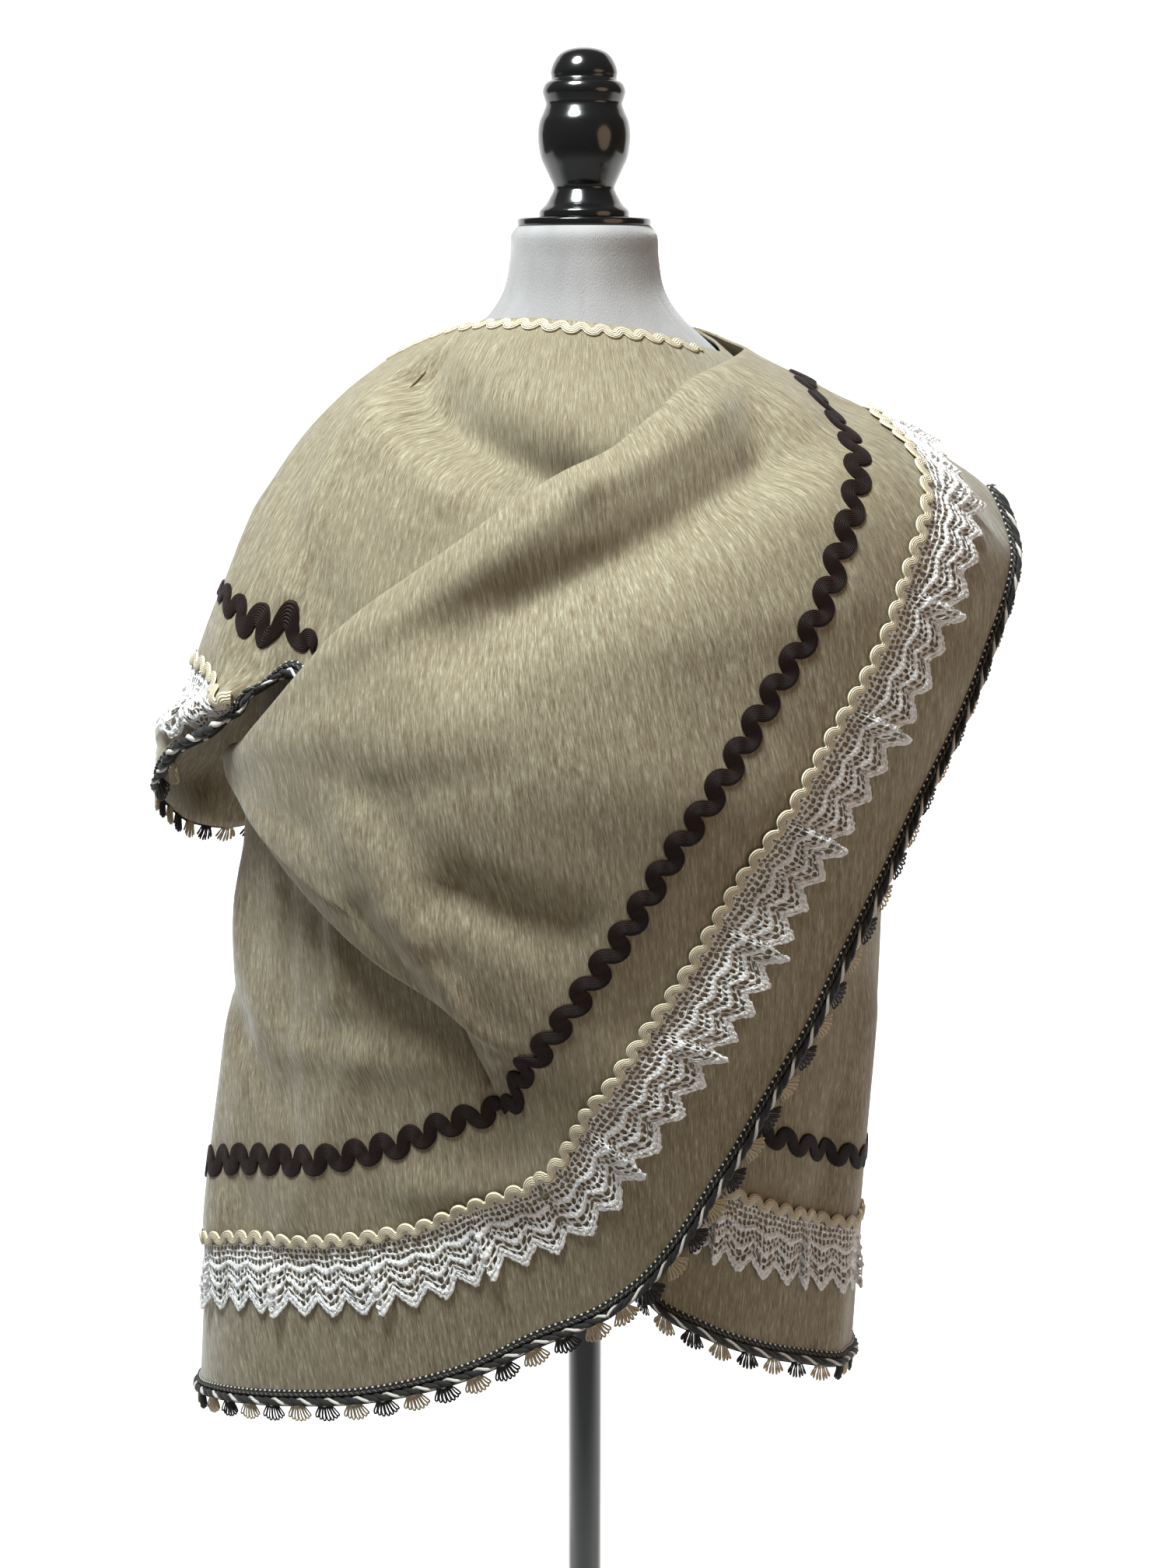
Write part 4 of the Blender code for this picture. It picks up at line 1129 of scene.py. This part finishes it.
def edge_braid(name, line, plain_until, finishes):
    """Make the edge braid: tape, beads, twisted cords, stitches and loop fans."""
    black, white, grey, beige = range(4)
    parts = MeshParts()
    count = max(round(line.length / BRAID_TURN), 1)
    period = line.length / count

    run = np.linspace(0.0, line.length, count * 6 + 1)
    across = np.array(TAPE_EDGES)
    tape = line.place(run[:, None], across, np.array(TAPE_LIFTS) + FACE)
    uvs = np.stack(np.broadcast_arrays(run[:, None], across), axis=-1)
    parts.add_grid(tape[None], uvs[None], black)

    run = np.linspace(0.0, line.length, count * 14 + 1)
    for ply in range(3):
        turn = 2 * np.pi * (run / period + ply / 3)
        radius, reach = (0.0014, 0.0021) if ply == 0 else (0.0021, 0.0017)
        strand(parts, line, run[None], (CORD_LINE + reach * np.sin(turn))[None],
               (FACE + CORD_LIFT + reach * np.cos(turn))[None], radius, 6,
               white if ply == 0 else black)

    run = np.linspace(0.0, line.length, count * BEADS_A_TURN * 6 + 1)
    for ply in range(2):
        turn = 2 * np.pi * (run / (period / BEADS_A_TURN) + ply / 2)
        radius, colour = (0.0007, grey) if ply == 0 else (0.0011, black)
        strand(parts, line, run[None], (FINE_CORD_LINE + 0.0009 * np.sin(turn))[None],
               (FACE + FINE_CORD_LIFT + 0.0007 * np.cos(turn))[None], radius, 4, colour)

    lift = FACE + NUB_LIFT
    beads = (np.arange(count * BEADS_A_TURN) + 0.5) * period / BEADS_A_TURN
    nubs(parts, line, beads, BEAD_LINE, lift, 0.0011, 0.0010, 0.0013, 0.0, white)
    stitches = (np.arange(count) + 0.5) * period
    nubs(parts, line, stitches, STITCH_LINE, lift, 0.0030, 0.0012, 0.0017, 0.2, white)

    sections = 11
    loop = np.arange(FAN_LOOPS) - (FAN_LOOPS - 1) / 2
    angle = np.radians(loop * FAN_SPREAD - FAN_LEAN)[:, None]
    bend = np.linspace(-1.0, 1.0, sections)
    length = FAN_LENGTH - 0.0006 * loop**2 * 0.5
    out = (1 - np.abs(bend) ** 2.2)[None] * length[:, None]
    wide = LOOP_WIDTH * np.sin(bend * np.pi)[None] + 0.0002 * np.sin(out * 900)
    along = loop[:, None] * FAN_ROOT + out * np.sin(angle) + wide * np.cos(angle)
    down = out * np.cos(angle) - wide * np.sin(angle)
    height = 0.0012 + 0.0006 * np.sin(bend * 2.0)[None] + 0.0004 * (loop[:, None] % 2)
    for colour in (beige, black):
        middle = (np.arange(1 if colour == black else 0, count, 2) + 0.5) * period
        middle = middle[middle > plain_until][:, None, None]
        fans = np.broadcast_arrays(middle + along, FAN_LINE - down, height)
        strand(parts, line, *(field.reshape(-1, sections) for field in fans), LOOP_RADIUS, 4,
               colour)
    return parts.build(name, finishes)


def smooth_profile(points, steps):
    """Return a profile with soft curves between its points."""
    table = np.array(points)
    before = np.concatenate([table[:1], table[:-1]])
    after = np.concatenate([table[1:], table[-1:]])
    slopes = (after - before) / 2
    result = []
    for k in range(len(table) - 1):
        reach = np.linalg.norm(table[k + 1] - table[k])
        first = slopes[k] * min(1.0, reach / (np.linalg.norm(slopes[k]) + 1e-9))
        second = slopes[k + 1] * min(1.0, reach / (np.linalg.norm(slopes[k + 1]) + 1e-9))
        result += [
            blend(step / steps, table[k], first, table[k + 1], second) for step in range(steps)
        ]
    result.append(table[-1])
    return np.array(result)


def turned(name, profile, finish, foot=0.0, steps=5, sides=96):
    """Make a turned piece from a profile that runs down its outer side, on a foot."""
    outline = smooth_profile([(radius, foot + height) for radius, height in profile], steps)
    outline = np.concatenate([[[0.0002, outline[0, 1]]], outline, [[0.0002, outline[-1, 1]]]])
    turn = np.arange(sides) * 2 * np.pi / sides
    radius = outline[:, 0][:, None]
    points = np.stack([
        radius * np.cos(-turn), radius * np.sin(-turn),
        np.broadcast_to(outline[:, 1][:, None], (len(outline), sides)),
    ], axis=-1)
    uvs = np.stack([np.broadcast_to(turn * 0.03, points.shape[:2]), points[..., 2]], axis=-1)
    parts = MeshParts()
    parts.add_grid(points[None], uvs[None], closed=True)
    return parts.build(name, [finish])


def dress_form(finish):
    """Make the limbless form, with its sewn panel seams as fine grooves."""
    heights = np.concatenate([
        [0.7000, 0.7015, 0.7040], np.linspace(0.708, 1.424, 150), [1.4275, 1.4305, 1.4325, 1.434],
    ])
    turns = np.linspace(0.0, 360.0, 193)[:-1]
    points = ring_points(FORM_RINGS, *np.meshgrid(turns, heights))
    groove = np.zeros_like(points[..., 0])
    for seam in SEAM_TURNS:
        away = (np.mod(turns - seam + 180.0, 360.0) - 180.0) / SEAM_WIDTH
        groove += np.exp(-away * away)
    below = np.clip((SEAM_TOP - heights) / 0.02, 0.0, 1.0)[:, None]
    points[..., :2] *= (1.0 - SEAM_DEPTH * groove * below)[..., None]
    top = points[-1:] * np.array([0.02, 0.02, 1.0])
    bottom = points[:1] * np.array([0.02, 0.02, 1.0])
    points = np.concatenate([bottom, points, top])
    uvs = np.stack([
        np.broadcast_to(np.radians(turns) * 0.15, points.shape[:2]), points[..., 2],
    ], axis=-1)
    parts = MeshParts()
    parts.add_grid(points[None, :, ::-1], uvs[None, :, ::-1], closed=True)
    return parts.build("form_cover", [finish])


def colour_setting(name, description, default):
    """Return a colour that can be set in the sidebar."""
    return FloatVectorProperty(
        name=name, description=description, default=default,
        size=3, min=0.0, max=1.0, subtype="COLOR",
    )


def length_setting(name, description, default, least, most):
    """Return a length that can be set in the sidebar."""
    return FloatProperty(
        name=name, description=description, default=default,
        min=least, max=most, unit="LENGTH",
    )


class ShawlSettings(bpy.types.PropertyGroup):
    """Sizes and colours of the cloth and its trims."""

    wall: length_setting("Cloth Wall", "Thickness of the cloth", 0.002, 0.001, 0.003)
    cloth: colour_setting("Cloth", "Colour of the velvet", (0.278, 0.228, 0.148))
    lace: colour_setting("Lace", "Colour of the lace", (0.96, 0.93, 0.93))
    cream: colour_setting("Cream Rickrack", "Colour of the cream rickrack", (0.84, 0.73, 0.53))
    brown: colour_setting(
        "Brown Rickrack", "Colour of the brown rickrack", (0.020, 0.0085, 0.0065))
    brown_period: length_setting(
        "Brown Wave", "Length of one wave of the brown rickrack", 0.027, 0.02, 0.04)
    cream_period: length_setting(
        "Cream Wave", "Length of one wave of the cream rickrack", 0.0174, 0.012, 0.03)


class FormSettings(bpy.types.PropertyGroup):
    """Colours of the dress form and its stand."""

    cover: colour_setting("Cover", "Colour of the form's cover", (0.36, 0.34, 0.34))
    lacquer: colour_setting(
        "Lacquer", "Colour of the stand, the neck plate and the finial", (0.006, 0.006, 0.007))


def hand_over(piece, slot, *nodes):
    """Fix a piece to the part's body and hide the nodes it stands for. The slot is not used."""
    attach(piece, "root")
    if nodes:
        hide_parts(*nodes)


STRETCHES = {}


class SHAWL_OT_cloth(bpy.types.Operator):
    """Make the cloth in one thin folded shell"""

    bl_idname = "shawl.cloth"
    bl_label = "Make the Cloth"

    def execute(self, context):
        settings = context.scene.shawl
        STRETCHES.update(make_stretches())
        cloth = shawl_cloth(STRETCHES, velvet_cloth(tuple(settings.cloth)), settings.wall)
        hand_over(cloth, "cloth", "back_panel", "left_end", "right_end")
        return {"FINISHED"}


class SHAWL_OT_rickrack(bpy.types.Operator):
    """Make the brown and cream rickracks"""

    bl_idname = "shawl.rickrack"
    bl_label = "Make the Rickracks"

    def execute(self, context):
        settings = context.scene.shawl
        cream = ribbed_braid("cream rickrack", tuple(settings.cream), 4200.0)
        brown = ribbed_braid("brown rickrack", tuple(settings.brown), 4600.0, sheen=0.0)
        for run in TRIM_RUNS:
            stretch = STRETCHES[run.stretch]
            for field, level, rows, period, wave, finish in (
                ("cream", CREAM_LINE, run.cream, settings.cream_period, CREAM_WAVE, cream),
                ("brown", BROWN_LINE, run.brown, settings.brown_period, BROWN_WAVE, brown),
            ):
                line = Line(stretch, stretch.from_hem, level, rows, run.name, field)
                piece = rickrack(field + "_wave_" + run.name, line, period, wave, finish)
                hand_over(piece, field, run.name + "_" + field)
        for side, node in (("back", "back_neck_edge"), ("left", "front_neck_edge")):
            stretch = STRETCHES[side]
            line = Line(stretch, stretch.from_top, NECK_LINE, NECK_RUNS[side])
            piece = rickrack("cream_" + node, line, NECK_PERIOD, NECK_WAVE, cream)
            hand_over(piece, "cream", node)
        return {"FINISHED"}


class SHAWL_OT_lace(bpy.types.Operator):
    """Make the pointed lace"""

    bl_idname = "shawl.lace"
    bl_label = "Make the Lace"

    def execute(self, context):
        cotton = lace_cotton(tuple(context.scene.shawl.lace))
        for run in TRIM_RUNS:
            stretch = STRETCHES[run.stretch]
            line = Line(stretch, stretch.from_hem, CREAM_LINE, run.lace, run.name, "cream")
            piece = lace("pointed_lace_" + run.name, line, cotton)
            hand_over(piece, "lace", run.name + "_lace")
        return {"FINISHED"}


class SHAWL_OT_braid(bpy.types.Operator):
    """Make the edge braid with its loop fans"""

    bl_idname = "shawl.braid"
    bl_label = "Make the Edge Braid"

    def execute(self, context):
        finishes = [
            yarn("black yarn", (0.010, 0.009, 0.009), sheen=0.15),
            yarn("white yarn", (0.70, 0.67, 0.62)),
            yarn("grey yarn", (0.14, 0.125, 0.10)),
            yarn("beige yarn", (0.60, 0.50, 0.34)),
        ]
        for run in TRIM_RUNS:
            stretch = STRETCHES[run.stretch]
            line = Line(stretch, stretch.from_hem, 0.0, run.braid)
            plain_until = -1.0
            if run.plain_to:
                column = np.interp(run.plain_to, stretch.places, stretch.columns)
                plain_until = float(np.interp(column, line.columns, line.lengths))
            piece = edge_braid("edge_braid_" + run.name, line, plain_until, finishes)
            hand_over(piece, "braid", run.name + "_braid")
        return {"FINISHED"}


class SHAWL_OT_form(bpy.types.Operator):
    """Make the dress form, its neck plate, finial, pole and base"""

    bl_idname = "shawl.form"
    bl_label = "Make the Dress Form"

    def execute(self, context):
        settings = context.scene.shawl_form
        hand_over(dress_form(form_velvet(tuple(settings.cover))), "form_cover", "form_body")
        lacquer = gloss_paint(tuple(settings.lacquer))
        for name, profile, foot, steps, node in (
            ("round_base", ROUND_BASE, 0.0, 5, "stand_base"),
            ("upright_pole", POLE, 0.0, 2, "stand_pole"),
            ("black_plate", NECK_PLATE, PLATE_HEIGHT, 5, "neck_plate"),
            ("turned_finial", FINIAL, FINIAL_HEIGHT, 5, "finial"),
        ):
            hand_over(turned(name, profile, lacquer, foot, steps), "gloss_black", node)
        return {"FINISHED"}


def soft_light(name, place, aim, size, power, hue):
    """Add an area light that looks at a point."""
    lamp = bpy.data.lights.new(name, "AREA")
    lamp.shape = "DISK"
    lamp.size = size
    lamp.energy = power
    lamp.color = hue
    item = bpy.data.objects.new(name, lamp)
    item.location = place
    item.rotation_euler = (Vector(aim) - Vector(place)).to_track_quat("-Z", "Y").to_euler()
    bpy.context.scene.collection.objects.link(item)


class SHAWL_OT_stage(bpy.types.Operator):
    """Make the pale floor and backdrop, the soft lights and the camera"""

    bl_idname = "shawl.stage"
    bl_label = "Make the Stage"

    def execute(self, context):
        scene = context.scene
        bend = np.linspace(0.0, np.pi / 2, 13)
        rows = [(SWEEP_FRONT, 0.0), (-2.0, 0.0), (0.6, 0.0)]
        rows += [
            (WALL_AT - SWEEP_BEND * (1 - math.sin(a)), SWEEP_BEND * (1 - math.cos(a)))
            for a in bend
        ]
        rows += [(WALL_AT, 3.0), (WALL_AT, WALL_HEIGHT)]
        table = np.array(rows)
        sides = np.linspace(-SWEEP_HALF_WIDTH, SWEEP_HALF_WIDTH, 5)
        points = np.stack([
            np.broadcast_to(sides, (len(table), 5)),
            np.broadcast_to(table[:, :1], (len(table), 5)),
            np.broadcast_to(table[:, 1:], (len(table), 5)),
        ], axis=-1)
        parts = MeshParts()
        parts.add_grid(points[None, :, ::-1], points[None, :, ::-1, :2])
        paper = glowing_paper("glowing paper", (0.42, 0.42, 0.42), (0.88, 0.88, 0.88), 1.05)
        sweep = parts.build("pale_sweep", [paper])

        world = bpy.data.worlds.new("soft room")
        world.use_nodes = True
        sky = world.node_tree.nodes["Background"]
        sky.inputs["Color"].default_value = (1.0, 0.82, 0.66, 1.0)
        sky.inputs["Strength"].default_value = 0.11
        scene.world = world
        scene.view_settings.view_transform = "Standard"
        white, warm = (0.90, 0.99, 1.0), (1.0, 0.70, 0.48)
        soft_light("window", (-0.55, -0.75, 2.9), (0.0, 0.0, 1.05), 0.7, 80.0, white)
        soft_light("fill", (2.2, -1.8, 1.5), (0.0, 0.0, 0.9), 1.8, 11.0, warm)

        lens = bpy.data.cameras.new("view")
        lens.sensor_fit = "VERTICAL"
        lens.sensor_height = SENSOR_HEIGHT
        lens.lens = FOCAL_PIXELS / PHOTO_HEIGHT * SENSOR_HEIGHT
        camera = bpy.data.objects.new("view", lens)
        camera.location = VIEW_PLACE
        camera.rotation_euler = (math.radians(90.0 - VIEW_TILT), 0.0, 0.0)
        scene.collection.objects.link(camera)
        scene.camera = camera
        return {"FINISHED"}


OPERATORS = (
    SHAWL_OT_cloth, SHAWL_OT_rickrack, SHAWL_OT_lace, SHAWL_OT_braid, SHAWL_OT_form,
    SHAWL_OT_stage,
)


class SHAWL_PT_sidebar(bpy.types.Panel):
    """Sizes, colours and the steps that make the shawl"""

    bl_idname = "SHAWL_PT_sidebar"
    bl_label = "Flamenco Shawl"
    bl_space_type = "VIEW_3D"
    bl_region_type = "UI"
    bl_category = "Shawl"

    def draw(self, context):
        layout = self.layout
        for settings in (context.scene.shawl, context.scene.shawl_form):
            for name in settings.__annotations__:
                layout.prop(settings, name)
        for operator in OPERATORS:
            layout.operator(operator.bl_idname)


CLASSES = (ShawlSettings, FormSettings) + OPERATORS + (SHAWL_PT_sidebar,)


def register():
    """Register the settings, the operators and the panel."""
    for item in CLASSES:
        bpy.utils.register_class(item)
    bpy.types.Scene.shawl = PointerProperty(type=ShawlSettings)
    bpy.types.Scene.shawl_form = PointerProperty(type=FormSettings)


def unregister():
    """Take them away again."""
    del bpy.types.Scene.shawl_form
    del bpy.types.Scene.shawl
    for item in reversed(CLASSES):
        bpy.utils.unregister_class(item)


def main():
    """Make every piece in order."""
    register()
    bpy.ops.shawl.cloth()
    bpy.ops.shawl.rickrack()
    bpy.ops.shawl.lace()
    bpy.ops.shawl.braid()
    bpy.ops.shawl.form()
    bpy.ops.shawl.stage()


if __name__ == "__main__":
    main()
